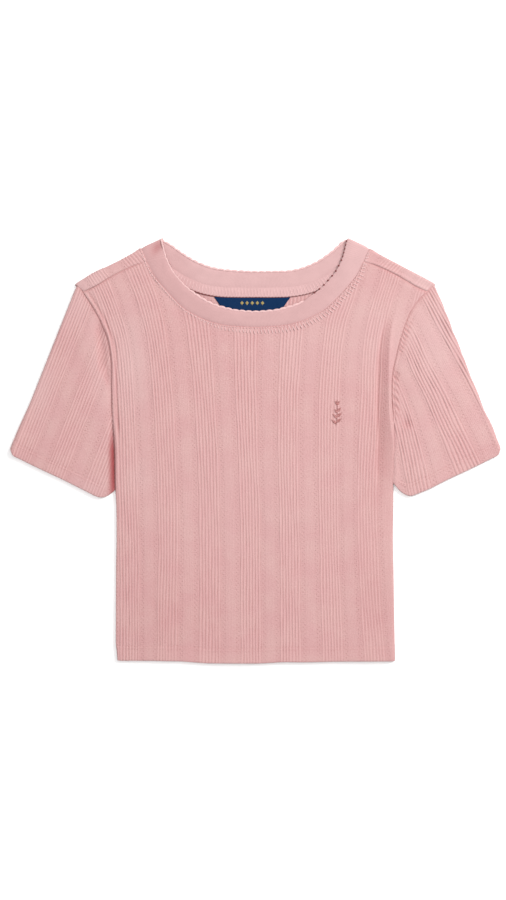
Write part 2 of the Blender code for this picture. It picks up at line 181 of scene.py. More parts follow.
# Middles of the rib bands on each sleeve, from its outer fold, at each distance down it
SLEEVE_RIBS = {
    1: np.array((
        (0.0, 8.0, 49.0, 84.0), (54.0, 1.0, 46.5, 82.0), (80.0, -3.0, 45.5, 82.0),
        (113.0, -7.0, 42.2, 82.5), (130.0, -9.0, 41.5, 84.0), (150.0, -11.0, 40.4, 87.0),
        (163.0, -12.0, 39.3, 89.0), (190.0, -13.0, 38.0, 94.0),
    )),
    -1: np.array(((0.0, 13.0, 51.5, 94.0), (90.0, 13.0, 51.5, 95.0), (190.0, 13.5, 52.0, 96.0))),
}
RIB_STRENGTH = {1: 1.45, -1: 0.68}  # of each sleeve's ribs against the body's

# The trough beside the armhole at +X
TROUGH = np.array((
    # y, x of its bottom, x of the ridge beside it, depth
    (-42.0, 130.0, 142.0, 0.0),
    (-25.0, 129.0, 145.5, 0.9),
    (-8.0, 128.6, 146.0, 1.6),
    (8.0, 129.0, 145.0, 2.1),
    (22.0, 129.0, 142.8, 2.3),
    (43.0, 128.6, 140.8, 2.4),
    (64.0, 128.4, 140.6, 2.4),
    (85.0, 128.8, 140.6, 2.3),
    (106.0, 130.4, 141.2, 1.9),
    (127.0, 134.4, 143.0, 1.1),
    (146.0, 139.0, 147.0, 0.0),
))
# Broad soft patches of painted shade, or, under 0, of painted highlight
PAINTED_LIGHT_PATCHES = np.array((
    # x, y, reach across, reach along, depth
    (-94.0, -172.0, 52.0, 42.0, 0.075),
    (132.0, -165.0, 20.0, 40.0, 0.07),
    (133.0, -14.0, 10.0, 46.0, 0.11),
    (-122.0, -28.0, 14.0, 20.0, -0.05),
    (-130.0, 95.0, 20.0, 58.0, -0.09),
    (120.0, 128.0, 42.0, 52.0, -0.06),
    (45.0, 105.0, 36.0, 32.0, -0.04),
    (10.0, -40.0, 120.0, 100.0, -0.025),
    (192.0, 118.0, 34.0, 66.0, -0.09),
    (247.0, 55.0, 22.0, 45.0, -0.06),
    (175.0, 0.0, 45.0, 55.0, -0.03),
    (-226.0, 78.0, 14.0, 42.0, -0.08),
    (-190.0, 152.0, 24.0, 24.0, -0.07),
    (-163.0, 95.0, 13.0, 46.0, -0.06),
    (-176.0, -38.0, 24.0, 12.0, -0.06),
))

# Columns and rows of the cloth's meshes, rows as distances from an edge
STEPS_PER_RIB = 5
STEPS_ON_PLAIN = 10
ROW = 4.3
OUTER_BAND = 3.0  # the last rib bands' middles, in repeats
MARGINS = (38, 54)  # columns from the last bands to the sides at -X and +X
HEM_ROWS = (0.0, 0.3, 0.8, 1.5, 3.0, 5.5, 8.5, 11.5, 13.8, 14.7, 15.2, 15.6, 16.0, 16.6, 17.8, 20.0)
TOP_ROWS = (0.0, 0.6, 1.2, 1.9, 2.9, 4.6)
ARMHOLE_ROWS = (0.0, 0.6, 1.2, 1.8, 2.5, 3.2, 4.0, 4.8, 5.6, 6.4, 7.2, 8.0)
CUFF_ROWS = (0.0, 0.3, 0.8, 1.5, 3.5, 7.0, 10.5, 12.2, 12.8, 13.3, 13.8, 14.6)
SLEEVE_ROWS = 122
SHORT_COLUMN = 30.0  # the rows at a sleeve's ends draw together in columns shorter than this

# Hems, trims and stitches
HEM_DEPTH = 16.0
CUFF_DEPTH = 14.0
HEM_TURN = (15.6, 15.4, 16.6, 1.2)  # stitched line, from where to where it thins, rounding of its edge
CUFF_TURN = (13.0, 12.6, 13.6, 1.0)
UNDERARM_V = (112.0, 132.0)  # distance down a sleeve over which it passes its underarm
AT_NECK = (117.0, 119.0)  # x over which the back's top line leaves the neck seam
UNDER_BAND = (126.5, 128.5)  # x over which it comes out from under the neckband
BAND_RUN = 24.0  # cloth from the neck seam to the band's free edge, over its roll
HUMP = 117.0  # x where cloth stands up most on the shoulder fold, beside the neck
PICOT_PITCH = 7.0
PICOT_TURNS_IN = (44.0, 58.0)  # x over which the picot goes behind the front band's edge
PICOT_ROOT = 0.875  # of the way from the neck seam to the band's free edge
PICOT_SHADOWS_END = 61.0  # x at which the last painted-shadow bead is
PICOT_SHADOWS_CLOSER = 202.0  # y past which the painted-shadow beads are thinner and closer together
ALLOWANCE = 9.3  # how far the neck seam's allowance hangs down
ALLOWANCE_PUCKERS = 3.4  # from one to the next, and from stitch to stitch
EDGE_LOOPS_REACH = 69.0  # to each side of the label's middle
LABEL_MIDDLE = (-3.0, 162.2)  # of its top edge
LABEL_TOP = 81.0  # its width there
LABEL_BOTTOM = 54.0
LABEL_HEIGHT = 19.0
LABEL_FACE = WALL + 0.35 + LABEL_WALL  # height of its upper face
LOZENGE_PITCH = 5.4
LOZENGE_HALF = (1.9, 2.2)  # half its width and height
HEM_STITCHES = (15.4, 12.8)  # distance of each row from the edge
CUFF_STITCHES = (13.0, 10.6)
HEM_STITCH = (2.2, 3.0)  # length and spacing
SPRIG = (86.0, 40.0)  # middle of the small motif on the chest
SATIN_PITCH = 0.62  # from stitch to stitch in a leaf
THREAD_SIDES = 6

# Colours
PINK = (0.537, 0.320, 0.313)
# Painted light: DEEP_PINK gives painted shade in rib furrows, eyelets and between loops, besides tinting
# random grain and thread; the next two colours are painted shade in folds and painted highlight
DEEP_PINK = (0.33, 0.118, 0.113)
PAINTED_SHADE_PINK = (0.29, 0.058, 0.06)
PAINTED_HIGHLIGHT_PINK = (0.562, 0.394, 0.385)
PALE_PINK = (0.552, 0.357, 0.353)
THREAD_PINK = (0.61, 0.405, 0.398)
NAVY = (0.002, 0.0185, 0.064)
GOLD = (0.42, 0.33, 0.12)
OLD_GOLD = (0.28, 0.21, 0.08)
PATCH_PINKS = ((0.528, 0.304, 0.302), (0.546, 0.336, 0.325))  # the jersey's soft patches
PICOT_PINK = (0.68, 0.44, 0.43)
SPRIG_PINK = (0.50, 0.25, 0.24)
HEM_PINKS = ((0.50, 0.28, 0.275), (0.43, 0.21, 0.205))  # of the hem's thread
# Dark yarn that stands in for shadow: painted shadow at the picot's edge and under the allowance's edge
PAINTED_SHADOW_REDS = ((0.20, 0.05, 0.05), (0.13, 0.025, 0.025))


# Curves and tables


def smooth(keys, values, at, limited=True):
    """A table's values read at some places on a smooth curve, straight on past its ends."""
    keys = np.asarray(keys, float)
    values = np.asarray(values, float)
    table = values.reshape(len(keys), -1)
    spans = np.diff(keys)[:, None]
    slopes = np.diff(table, axis=0) / spans
    tangents = np.vstack((slopes[:1], (slopes[:-1] + slopes[1:]) / 2, slopes[-1:]))
    if limited:
        bound = 3 * np.minimum(abs(slopes[:-1]), abs(slopes[1:])) * (slopes[:-1] * slopes[1:] > 0)
        tangents[1:-1] = np.clip(tangents[1:-1], -bound, bound)
    at = np.asarray(at, float)
    inside = np.clip(at, keys[0], keys[-1])
    i = np.clip(np.searchsorted(keys, inside) - 1, 0, len(spans) - 1)
    t = ((inside - keys[i]) / spans[i, 0])[..., None]
    span = spans[i]
    read = (1 + 2 * t) * (1 - t) ** 2 * table[i] + t * (1 - t) ** 2 * tangents[i] * span
    read += t * t * (3 - 2 * t) * table[i + 1] + t * t * (t - 1) * tangents[i + 1] * span
    read += (at - inside)[..., None] * np.where((at < keys[0])[..., None], tangents[0], tangents[-1])
    return read[..., 0] if values.ndim == 1 else read


def step(value, low, high):
    """0 below low, 1 above high, smooth between."""
    t = np.clip((value - low) / (high - low), 0, 1)
    return t * t * (3 - 2 * t)


def span(value, low, from_there, to_there, high):
    """1 from one place to another, 0 below low and above high, smooth between."""
    return step(value, low, from_there) * (1 - step(value, to_there, high))


def bell(value, width):
    """1 at 0, falling away to both sides."""
    return np.exp(-((value / width) ** 2))


def fading(distance, reach):
    """1 at an edge and outside it, dying away further in."""
    return np.exp(-np.maximum(distance, 0) / reach)


def rounded(distance, radius):
    """0 at an edge and 1 from a radius in, on a quarter circle."""
    t = np.clip(1 - distance / radius, 0, 1)
    return np.sqrt(1 - t * t)


def level(table, x):
    """A smooth line's y at each x."""
    return smooth(table[:, 0], table[:, 1], x)


def run_of(line):
    """Distance along a line to each of its points."""
    return np.concatenate(([0], np.cumsum(np.linalg.norm(np.diff(line, axis=0), axis=1))))


def read(table, run, at):
    """A table that goes with a line's points, read at some distances along the line."""
    return np.stack([np.interp(at, run, column) for column in table.T], axis=-1)


def curve(points, fractions):
    """Points at fractions of the length of a smooth curve through the points given."""
    points = np.asarray(points, float)
    knots = np.vstack((2 * points[0] - points[1], points, 2 * points[-1] - points[-2]))
    t = np.linspace(0, 1, 24, endpoint=False)[:, None]
    fine = []
    for a, b, c, d in zip(knots, knots[1:], knots[2:], knots[3:]):
        fine.append(b + 0.5 * t * (c - a + t * (2 * a - 5 * b + 4 * c - d + t * (3 * (b - c) + d - a))))
    fine = np.vstack((*fine, points[-1:]))
    run = run_of(fine)
    return read(fine, run, np.asarray(fractions) * run[-1])


def ways(line):
    """Unit steps along a line at each of its points."""
    along = np.gradient(line, axis=0)
    return along / np.linalg.norm(along, axis=1)[:, None]


def right_of(line):
    """Unit vectors to the right of a line's way at each of its points."""
    way = ways(line)
    return paired(way[:, 1], -way[:, 0])


def paired(a, b):
    """Grids side by side, as points or UVs."""
    return np.stack(np.broadcast_arrays(a, b), axis=-1)


def at_height(places, height):
    return np.column_stack((places, np.full(len(places), height)))


def mirrored(half, end=None, left=None):
    """A line from -X to +X: a half line and its mirror image, or another half line at -X."""
    left = half if left is None else left
    if end is not None:
        half, left = np.vstack((half, end)), np.vstack((left, end))
    return np.vstack((left[:0:-1] * (-1, 1), half))


def half_width(y, side):
    return smooth(SIDES[:, 0], SIDES[:, 2 if side > 0 else 1], y)


def from_sides(x, y):
    """Distance in from the side seam or the armhole line, and 0 past it."""
    return np.maximum(np.where(x > 0, half_width(y, 1), half_width(y, -1)) - abs(x), 0)


def across_bands(bands, places):
    """Where places given in repeats lie, from where repeats -4 to 4 lie."""
    weights = smooth(np.arange(-4.0, 5.0), np.eye(9), places, limited=False)
    return (bands * weights).sum(axis=-1)


def waves(x, y, size, height, seed):
    """Soft uneven swells, the same each time."""
    draw = np.random.default_rng(seed)
    total = np.zeros(np.broadcast(x, y).shape)
    for _ in range(7):
        angle, phase, stretch = draw.uniform(0, math.tau, 2).tolist() + [draw.uniform(0.6, 1.6)]
        along = x * math.cos(angle) + y * math.sin(angle)
        total = total + np.sin(along * math.tau / (size * stretch) + phase)
    return total * height / 3


# Folds


class Fold:
    """A fold along a straight line: its axis, the way along it and the way out of the shirt."""

    def __init__(self, start, end, side):
        self.along = np.array([side * (end[0] - start[0]), end[1] - start[1]])
        self.along /= np.linalg.norm(self.along)
        self.out = np.array([self.along[1], -self.along[0]])
        if self.out @ (side, 1) < 0:
            self.out = -self.out
        self.corner = np.array([side * start[0], start[1]])
        self.axis = self.corner - RADIUS * self.out

    def axis_at(self, x):
        return self.axis + self.along * (x - self.axis[0]) / self.along[0]


SHOULDER = {side: Fold(HIGH_POINT, SHOULDER_TIP, side) for side in (-1, 1)}
SLEEVE_FOLD = {side: Fold(*OUTER_FOLD[side], side) for side in (-1, 1)}
NECK_CORNER = SHOULDER[1].axis_at(NECK_AT_FOLD - RADIUS * SHOULDER[1].out[0])  # of the neck seam


def over_shoulder(x, y):
    """Where cloth that lies on the surface at x, y comes to when it goes over the shoulder fold."""
    place = np.stack((x, y, np.zeros_like(x)), axis=-1)
    outward = np.zeros_like(place)
    outward[..., 2] = -1
    for side in (-1, 1):
        fold = SHOULDER[side]
        past = (x - fold.axis[0]) * fold.out[0] + (y - fold.axis[1]) * fold.out[1]
        mine = (past > 0) & (x * side > 0)
        turn = np.clip(past / RADIUS, 0, math.pi)
        beyond = np.maximum(past - math.pi * RADIUS, 0)
        shift = RADIUS * np.sin(turn) - beyond - past
        height = RADIUS * (1 - np.cos(turn))
        bent = np.stack((x + shift * fold.out[0], y + shift * fold.out[1], height), axis=-1)
        radial = np.stack((np.sin(turn) * fold.out[0], np.sin(turn) * fold.out[1], -np.cos(turn)), axis=-1)
        place = np.where(mine[..., None], bent, place)
        outward = np.where(mine[..., None], radial, outward)
    return place, outward


# Meshes


def add(name, data):
    """An object in the scene that holds some data."""
    made = bpy.data.objects.new(name, data)
    bpy.context.scene.collection.objects.link(made)
    return made


def make_object(name, vertices, faces, material, uv=None, painted_light=None):
    """A mesh piece in metres that rides on the shirt's one body."""
    mesh = bpy.data.meshes.new(name)
    faces = np.asarray(faces)
    mesh.vertices.add(len(vertices))
    mesh.vertices.foreach_set("co", (np.asarray(vertices) * MM).astype(np.float32).ravel())
    mesh.loops.add(faces.size)
    mesh.loops.foreach_set("vertex_index", faces.astype(np.int32).ravel())
    mesh.polygons.add(len(faces))
    mesh.polygons.foreach_set("loop_start", np.arange(0, faces.size, faces.shape[1], dtype=np.int32))
    mesh.update(calc_edges=True)
    mesh.polygons.foreach_set("use_smooth", np.ones(len(faces), bool))
    mesh.materials.append(material)
    if uv is not None:
        layer = mesh.uv_layers.new(name="cloth")
        layer.data.foreach_set("uv", np.asarray(uv).astype(np.float32).ravel())
    # Painted light as a point attribute: painted shade over 0, painted highlight under 0
    if painted_light is not None:
        depths = mesh.attributes.new("painted_light", "FLOAT", "POINT")
        depths.data.foreach_set("value", np.asarray(painted_light).astype(np.float32).ravel())
    mesh.validate()
    made = add(name, mesh)
    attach(made, "root")
    return made


def cloth(name, outer, outward, thickness, uv, material, closed=False, painted_light=0.0, over=0.0):
    """A closed shell from grids of outer points, outward vectors, wall thickness and UVs.

    A closed grid is a ring in its second direction, and its UV grid has one more column.
    The painted light is 0 on open cloth, up to 1 for painted shade at the bottom of a
    closed fold, and under 0 for painted highlight. Over is the height of the cloth below,
    which the inner face stays above.
    """
    rows, columns = outer.shape[:2]
    outward = np.broadcast_to(outward, outer.shape)
    inner = outer - outward * np.broadcast_to(thickness, (rows, columns))[..., None]
    inner[..., 2] = np.maximum(inner[..., 2], LOWEST_INNER + over)
    wide = columns if closed else columns - 1
    i, j = np.meshgrid(np.arange(rows - 1), np.arange(wide), indexing="ij")
    k = (j + 1) % columns
    corners = [(i, j, j), (i, k, j + 1), (i + 1, k, j + 1), (i + 1, j, j)]
    quads = np.stack([a * columns + b for a, b, _ in corners], axis=-1).reshape(-1, 4)
    quad_uv = np.stack([uv[a, c] for a, _, c in corners], axis=-2).reshape(-1, 4, 2)
    row, column = rows // 2, columns // 2
    a = outer[row + 1, column] - outer[row, column]
    b = outer[row, column + 1] - outer[row, column]
    if np.cross(b, a) @ outward[row, column] < 0:
        quads = quads[:, ::-1]
        quad_uv = quad_uv[:, ::-1]
    count = rows * columns
    edges = np.stack([quads, np.roll(quads, -1, axis=1)], axis=-1).reshape(-1, 2)
    edge_uv = np.stack([quad_uv, np.roll(quad_uv, -1, axis=1)], axis=-2).reshape(-1, 2, 2)
    keys = edges[:, 0] * count + edges[:, 1]
    border = ~np.isin(keys, edges[:, 1] * count + edges[:, 0])
    rim, rim_uv = edges[border], edge_uv[border]
    rim_faces = np.stack((rim[:, 1], rim[:, 0], rim[:, 0] + count, rim[:, 1] + count), axis=1)
    rim_uvs = np.stack((rim_uv[:, 1], rim_uv[:, 0], rim_uv[:, 0], rim_uv[:, 1]), axis=1)
    faces = np.vstack((quads, quads[:, ::-1] + count, rim_faces))
    uvs = np.vstack((quad_uv, quad_uv[:, ::-1], rim_uvs))
    vertices = np.vstack((outer.reshape(-1, 3), inner.reshape(-1, 3)))
    creases = np.tile(np.broadcast_to(painted_light, (rows, columns)).ravel(), 2)
    return make_object(name, vertices, faces, material, uvs, creases)


def threads(name, pairs, radius, lift, material):
    """Rows of short stitches as one mesh, without those that miss the cloth.

    Each stitch is a thread that rises in the middle and dips at its ends.
    """
    starts = np.vstack([a for a, _ in pairs])
    ends = np.vstack([b for _, b in pairs])
    held = np.isfinite(starts + ends).all(axis=1)
    starts, ends, radius = starts[held], ends[held], np.broadcast_to(radius, len(held))[held]
    shares = np.array((0.0, 0.06, 0.3, 0.7, 0.94, 1.0))
    girths = np.array((0.35, 0.85, 1.0, 1.0, 0.85, 0.35))
    rises = np.array((-0.5, 0.0, 1.0, 1.0, 0.0, -0.5)) * lift
    along = ends - starts
    along /= np.linalg.norm(along, axis=1)[:, None]
    across = np.cross(along, UP)
    across /= np.maximum(np.linalg.norm(across, axis=1), 1e-6)[:, None]
    over = np.cross(across, along)
    middle = starts[:, None] + (ends - starts)[:, None] * shares[None, :, None]
    middle = middle + rises[None, :, None] * over[:, None]
    angles = np.arange(THREAD_SIDES) * math.tau / THREAD_SIDES
    ring = np.cos(angles)[:, None] * across[:, None, None] + np.sin(angles)[:, None] * over[:, None, None]
    points = middle[:, :, None] + ring * (radius[:, None] * girths)[:, :, None, None]
    each = len(shares) * THREAD_SIDES
    last = each - THREAD_SIDES
    r, s = np.meshgrid(np.arange(0, last, THREAD_SIDES), np.arange(THREAD_SIDES), indexing="ij")
    t = (s + 1) % THREAD_SIDES
    tube = np.stack((r + s, r + t, r + THREAD_SIDES + t, r + THREAD_SIDES + s), axis=-1).reshape(-1, 4)
    low_caps = ((0, 5, 4, 3), (0, 3, 2, 1))
    high_caps = ((last, last + 1, last + 2, last + 3), (last, last + 3, last + 4, last + 5))
    one = np.vstack((tube, low_caps, high_caps))[:, ::-1]
    faces = (one[None] + each * np.arange(len(starts))[:, None, None]).reshape(-1, 4)
    made = make_object(name, points.reshape(-1, 3), faces, material)
    return made


# Knit


def knit_columns(low, high, on_plain=STEPS_ON_PLAIN):
    """Places across the cloth, in repeats, with every rib's crest among them."""
    places = set()
    ribs = np.arange(-RIBS * STEPS_PER_RIB // 2, RIBS * STEPS_PER_RIB // 2 + 2) * RIB_PITCH / STEPS_PER_RIB
    ribs = ribs[abs(ribs) <= RIB_BAND + 1e-9]
    plain = np.linspace(ribs[-1], 1 + ribs[0], on_plain + 2)[1:-1]
    for repeat in range(math.floor(low) - 1, math.ceil(high) + 2):
        places |= set((repeat + np.concatenate((ribs, plain))).tolist())
    gap = 0.3 * RIB_PITCH / STEPS_PER_RIB
    return np.array([low, *sorted(p for p in places if low + gap < p < high - gap), high])


def wandering(repeats, along):
    """The pattern's places with each rib's slight wander to either side as it runs along."""
    number = np.round(repeats / RIB_PITCH)
    wander = 0.05 * np.sin(along / 7.3 + number * 1.9) + 0.06 * np.sin(along / 17.0 + number * 0.7)
    return repeats + RIB_PITCH * wander


def rib_relief(repeats, along):
    """Height of the ribs above and below the cloth's middle face, each rib a little its own."""
    place = (repeats + 0.5) % 1 - 0.5
    phase = place / RIB_PITCH
    crest = np.cos(math.tau * phase)
    in_band = 1 - step(abs(place), RIB_BAND - 0.012, RIB_BAND + 0.012)
    number = np.round(phase) + 10 * np.round(repeats)
    uneven = 1 + 0.30 * np.sin(number * 2.4 + along / 9.0 + 1.7 * np.sin(number * 1.3 + along / 31.0))
    uneven = np.clip(uneven + 0.25 * np.sin(number * 5.1 + along / 5.3), 0.3, 1.6)
    eyelets = bell(abs(place) - EYELET_AT, 0.05)
    return 0.5 * RIB_DEPTH * (crest * in_band * uneven - 0.25 * (1 - in_band) - 0.5 * eyelets)


def painted_light_patches(x, y):
    """Painted shade, or under 0 painted highlight, in broad soft patches."""
    total = 0.0
    for at_x, at_y, across, along, depth in PAINTED_LIGHT_PATCHES:
        total = total + depth * bell(x - at_x, across) * bell(y - at_y, along)
    return total


# Body panels

FRONT_TOP = np.vstack((FRONT_SEAM, FORWARD_SEAM[1:]))


def panel_columns():
    """Columns of a body panel: repeats as far as the last bands, then shares of the way to the sides."""
    left = -OUTER_BAND - np.linspace(1, 0, MARGINS[0] + 1)[:-1]
    right = OUTER_BAND + np.linspace(0, 1, MARGINS[1] + 1)[1:]
    return np.concatenate((left, knit_columns(-OUTER_BAND, OUTER_BAND), right))


def lay(columns, y):
    """x and place in repeats of each column of a body panel at level y."""
    bands = smooth(RIB_MIDDLES[:, 0], RIB_MIDDLES[:, 1:], y)
    knots = np.concatenate((bands[..., :1] - PERIOD, bands, bands[..., -1:] + PERIOD), axis=-1)
    inner = np.clip(columns, -OUTER_BAND, OUTER_BAND)
    x = across_bands(knots, inner)
    edge = np.where(columns > 0, half_width(y, 1), -half_width(y, -1))
    beyond = (edge - x) * abs(columns - inner)
    return x + beyond, inner + beyond / PERIOD


def tops(columns, line):
    """The level at which each column meets the line that bounds the panel above."""
    low = np.full(len(columns), UNDERARM_Y)
    high = np.full(len(columns), HIGHEST_Y)
    for _ in range(36):
        middle = (low + high) / 2
        under = level(line, abs(lay(columns, middle)[0])) > middle
        low = np.where(under, middle, low)
        high = np.where(under, high, middle)
    return (low + high) / 2


def spread_rows(low, high, from_low, from_high, pitch):
    """Rows from low to high: at set distances from both ends and evenly between."""
    count = int((high.max() - low.min()) / pitch) + 1
    a, b = low + from_low[-1], high - from_high[-1]
    between = a + (b - a) * np.linspace(0, 1, count)[1:-1, None]
    return np.vstack((low + np.array(from_low)[:, None], between, high - np.array(from_high)[::-1, None]))


def hem_of(columns):
    """The level of the hem's edge at each column."""
    return level(HEM, lay(columns, np.full(len(columns), HEM_Y))[0])


def hem_wall(from_hem, depth):
    """The cloth's thickness, more where its hem is turned up."""
    return WALL + (HEM_WALL - WALL) * (1 - step(from_hem, depth, depth + 2))


def hem_relief(from_hem, line, low, high, edge):
    """A turned-up hem's outer face: pressed in at its stitched line and rounded at its edge."""
    raised = 0.12 * (1 - step(from_hem, low, high))
    return raised - 0.22 * bell(from_hem - line, 0.8) - edge * (1 - rounded(from_hem, 1.4))


def body_folds(x, y):
    """Height and painted shade of the trough beside the armhole at +X, and of the rolls beside the seams."""
    bottom, ridge, depth = np.moveaxis(smooth(TROUGH[:, 0], TROUGH[:, 1:], np.clip(y, -42, 146)), -1, 0)
    share = (x - bottom) / (ridge - bottom)
    before = -bell(x - bottom, 1.8)
    after = 0.75 * bell(x - ridge, 2.4)
    rise = -1.0 + 1.75 * np.clip(share, 0, 1)
    trough = depth * np.where(share < 0, before, np.where(share < 1, rise, after))
    # Painted shade over the trough's rising wall
    dark = 0.15 * depth / 2.4 * span(share, -0.12, 0.06, 0.86, 1.04)
    from_left = x + half_width(y, -1)
    swell = 0.35 * bell(x + 138, 14) * bell(y, 90) + 0.3 * bell(x - 30 + y * 0.05, 24) * bell(y + 60, 110)
    roll = 0.8 * bell(from_left - 2.2, 1.6) * step(y, -52, -30)
    furrow = bell(from_left - 5.2, 1.5) * step(y, 8, 26) * (0.55 + 0.5 * bell(y - 33, 14))
    # Painted shade in the furrow beside the armhole at -X, along the body's edge at the underarm crevice,
    # and along the armhole seam above it
    dark += 0.22 * furrow
    dark += 0.8 * fading(from_left, 0.7) * span(-y, -30, -6, 40, 44)
    dark += 0.30 * fading(from_left, 0.9) * span(y, 36, 48, 150, 160)
    return trough + swell + roll - furrow, dark


def front_base(x, y):
    """Height and painted shade of the front's outer face without ribs and seams."""
    from_side = from_sides(x, y)
    from_top = np.maximum(level(FRONT_TOP, abs(x)) - y, 0)
    low = SIDE_EDGE + (TOP - 0.9 - SIDE_EDGE) * step(y, 5, 50)
    crown = CROWN * (1 - fading(from_side, 9.0)) * (1 - fading(from_top, CROWN_REACH))
    folds, dark = body_folds(x, y)
    height = TOP + crown + folds * step(from_top, 0, 12)
    height = height + waves(x, y, 85.0, 0.24, 5) * step(from_top, 0, 20)
    return low + (height - low) * rounded(from_side, np.where(x > 0, 2.8, 1.2)), dark


def front_panel(material):
    """The front, from the hem to the neck seam and the forward shoulder seams."""
    columns = panel_columns()
    top_y = tops(columns, FRONT_TOP) + TUCK
    low_y = hem_of(columns)
    y = spread_rows(low_y, top_y, HEM_ROWS, TOP_ROWS, ROW)
    x, repeats = lay(columns, y)
    repeats = wandering(repeats, y)
    from_side = from_sides(x, y)
    from_top = (top_y - TUCK - y) * TOP_SLANT
    from_hem = y - low_y
    height, dark = front_base(x, y)
    near_edge = (1 - fading(from_top, 1.2)) * (1 - fading(from_side, 0.8))
    strength = 0.92 - 0.26 * step(x, 0, 60) - 0.35 * step(x, 70, 110) * step(-y, 20, 90)
    height += rib_relief(repeats, y) * near_edge * strength * (1 - 0.3 * (1 - step(from_hem, 15, 17)))
    height += 0.35 * bell(from_top - 2.6, 1.5) - 0.75 * (1 - step(from_top, -0.6, 0.9))
    height += hem_relief(from_hem, *HEM_TURN)
    # Painted shade along the top seam, and the broad painted light patches
    dark = dark + 0.22 * bell(from_top - 0.2, 0.9) + painted_light_patches(x, y)
    outer = np.stack((x, y, height), axis=-1)
    thickness = hem_wall(from_hem, HEM_DEPTH)
    uv = paired(repeats, y / PERIOD)
    made = cloth("front", outer, UP, thickness, uv, material, painted_light=dark)
    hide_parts("front_panel")
    return made


# Back


def shoulder_pattern(point):
    """The flat place, on the surface, of a point that lies on top in front of the shoulder fold."""
    fold = SHOULDER[1]
    in_front = (fold.axis - point) @ fold.out
    return point + (2 * in_front + math.pi * RADIUS) * fold.out


BACK_TOP = np.vstack((BACK_SEAM, NECK_CORNER, [shoulder_pattern(point) for point in FORWARD_SEAM]))


def back_rows(columns, low_y, top_y):
    """Rows of the back: up to the shoulder fold, round it, and on to the forward seam."""
    fold = SHOULDER[1]
    from_axis = abs(lay(columns, top_y)[0]) - fold.axis[0]
    axis_y = fold.axis[1] - from_axis * fold.out[0] / fold.out[1]
    fold_low = np.minimum(axis_y - 1, top_y - 4)
    fold_high = np.minimum(fold_low + math.pi * RADIUS / fold.out[1] + 3, (fold_low + top_y) / 2 + 2)
    body = spread_rows(low_y, fold_low, HEM_ROWS, (3.0,), ROW + 0.5)
    folded = fold_low + (fold_high - fold_low) * np.linspace(0, 1, 13, endpoint=False)[:, None]
    ahead = fold_high + (top_y - fold_high) * np.linspace(0, 1, 7)[:, None] ** 0.7
    return np.vstack((body, folded, ahead))


def back_panel(material):
    """The back, from the hem up and over the shoulder folds to the forward shoulder seams."""
    columns = panel_columns()
    seam_y = tops(columns, BACK_TOP)
    seam_x = abs(lay(columns, seam_y)[0])
    at_neck = 1 - step(seam_x, *AT_NECK)
    beside_band = 1 - step(seam_x, *UNDER_BAND)
    top_y = seam_y + TUCK * (at_neck + 1.4 * (beside_band - at_neck))
    low_y = hem_of(columns)
    y = back_rows(columns, low_y, top_y)
    x, repeats = lay(columns, y)
    repeats = wandering(repeats, y)
    place, outward = over_shoulder(x, y)
    from_side = from_sides(x, y)
    from_top = (seam_y - y) * TOP_SLANT
    from_hem = y - low_y
    on_top = step(place[..., 2], RADIUS, TOP)
    in_fold = step(place[..., 2], 0.3, RADIUS)
    near_edge = (1 - fading(from_top, 1.6)) * (1 - fading(from_side, 1.0))
    strength = np.where(x > 0, 0.35, 0.8) * in_fold + 1 - in_fold
    relief = rib_relief(repeats, y) * near_edge * strength - 0.25 * (1 - in_fold)
    relief += (in_fold - on_top) * 1.5 * bell(abs(place[..., 0]) - HUMP, 9)
    relief += in_fold * 1.2 * bell(place[..., 0] + 168, 13)
    relief -= 0.8 * (1 - rounded(from_side, 1.2)) + 0.9 * in_fold * fading(from_side, 3.0)
    seam = np.where(x > 0, 0.75, 0.3375) * (1 - at_neck) * bell(from_top - 1.5, 1.3)
    relief += on_top * (1 - beside_band) * (seam - 0.75 * (1 - rounded(from_top, 1.0)))
    under_band = beside_band * (1 - step(from_top, -0.9, 1.1))
    relief -= in_fold * (0.8 - 0.2 * on_top) * under_band
    relief -= 0.15 * (1 - step(from_hem, *HEM_TURN[1:3])) * (1 - on_top)
    relief = np.where(place[..., 2] < 0.5, np.minimum(relief, 0), relief)
    outer = place + outward * relief[..., None]
    outer[..., 2] = np.maximum(outer[..., 2], 0.0)
    thickness = hem_wall(from_hem, HEM_DEPTH) - 0.3 * (1 - in_fold) * under_band
    uv = paired(repeats, y / PERIOD + 0.31)
    # Painted highlight on the strip folded over the shoulders, stronger towards its outer ends, with the
    # broad painted light patches
    painted_highlight = 0.02 + 0.07 * step(abs(place[..., 0]), 145, 172)
    made = cloth("back", outer, outward, thickness, uv, material, painted_light=painted_light_patches(x, y) - on_top * painted_highlight)
    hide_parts("back_panel")
    return made


# Sleeves


def to_sleeve(points, side):
    """Plan points as (inwards from the outer fold's outline, down the sleeve)."""
    fold = SLEEVE_FOLD[side]
    rest = points - fold.corner
    return paired(rest @ -fold.out, rest @ fold.along)


def sleeve_bounds(side, lower):
    """Tables of the sleeve's upper bound and hem: distance down it for each distance inwards."""
    levels = np.array((170.5, 167.0, 163.0, 155.0, 144.0, 131.0, 118.0, 97.0, 80.0, 58.0, 42.0))
    armhole = paired(side * half_width(levels, side), levels)
    edge = UNDERARM_EDGE[::-1]
    under = paired(side * edge[:, (3 if side > 0 else 1) + lower], edge[:, 0])
    upper = to_sleeve(np.vstack((armhole, under)), side)
    upper = np.vstack(([0.0, 0.6], [RADIUS, 1.6], upper[upper[:, 0] > 2 * RADIUS]))
    hem = to_sleeve(SLEEVE_HEM[side] * (side, 1), side)
    corner = np.array(((0.0, -4.5), (1.2, -2.2), (4.0, 0.4))) + (0.0, hem[0, 1])
    hem = np.vstack((corner, hem[hem[:, 0] > 6]))
    return upper, hem[np.append(True, np.diff(hem[:, 0]) > 0.5)]


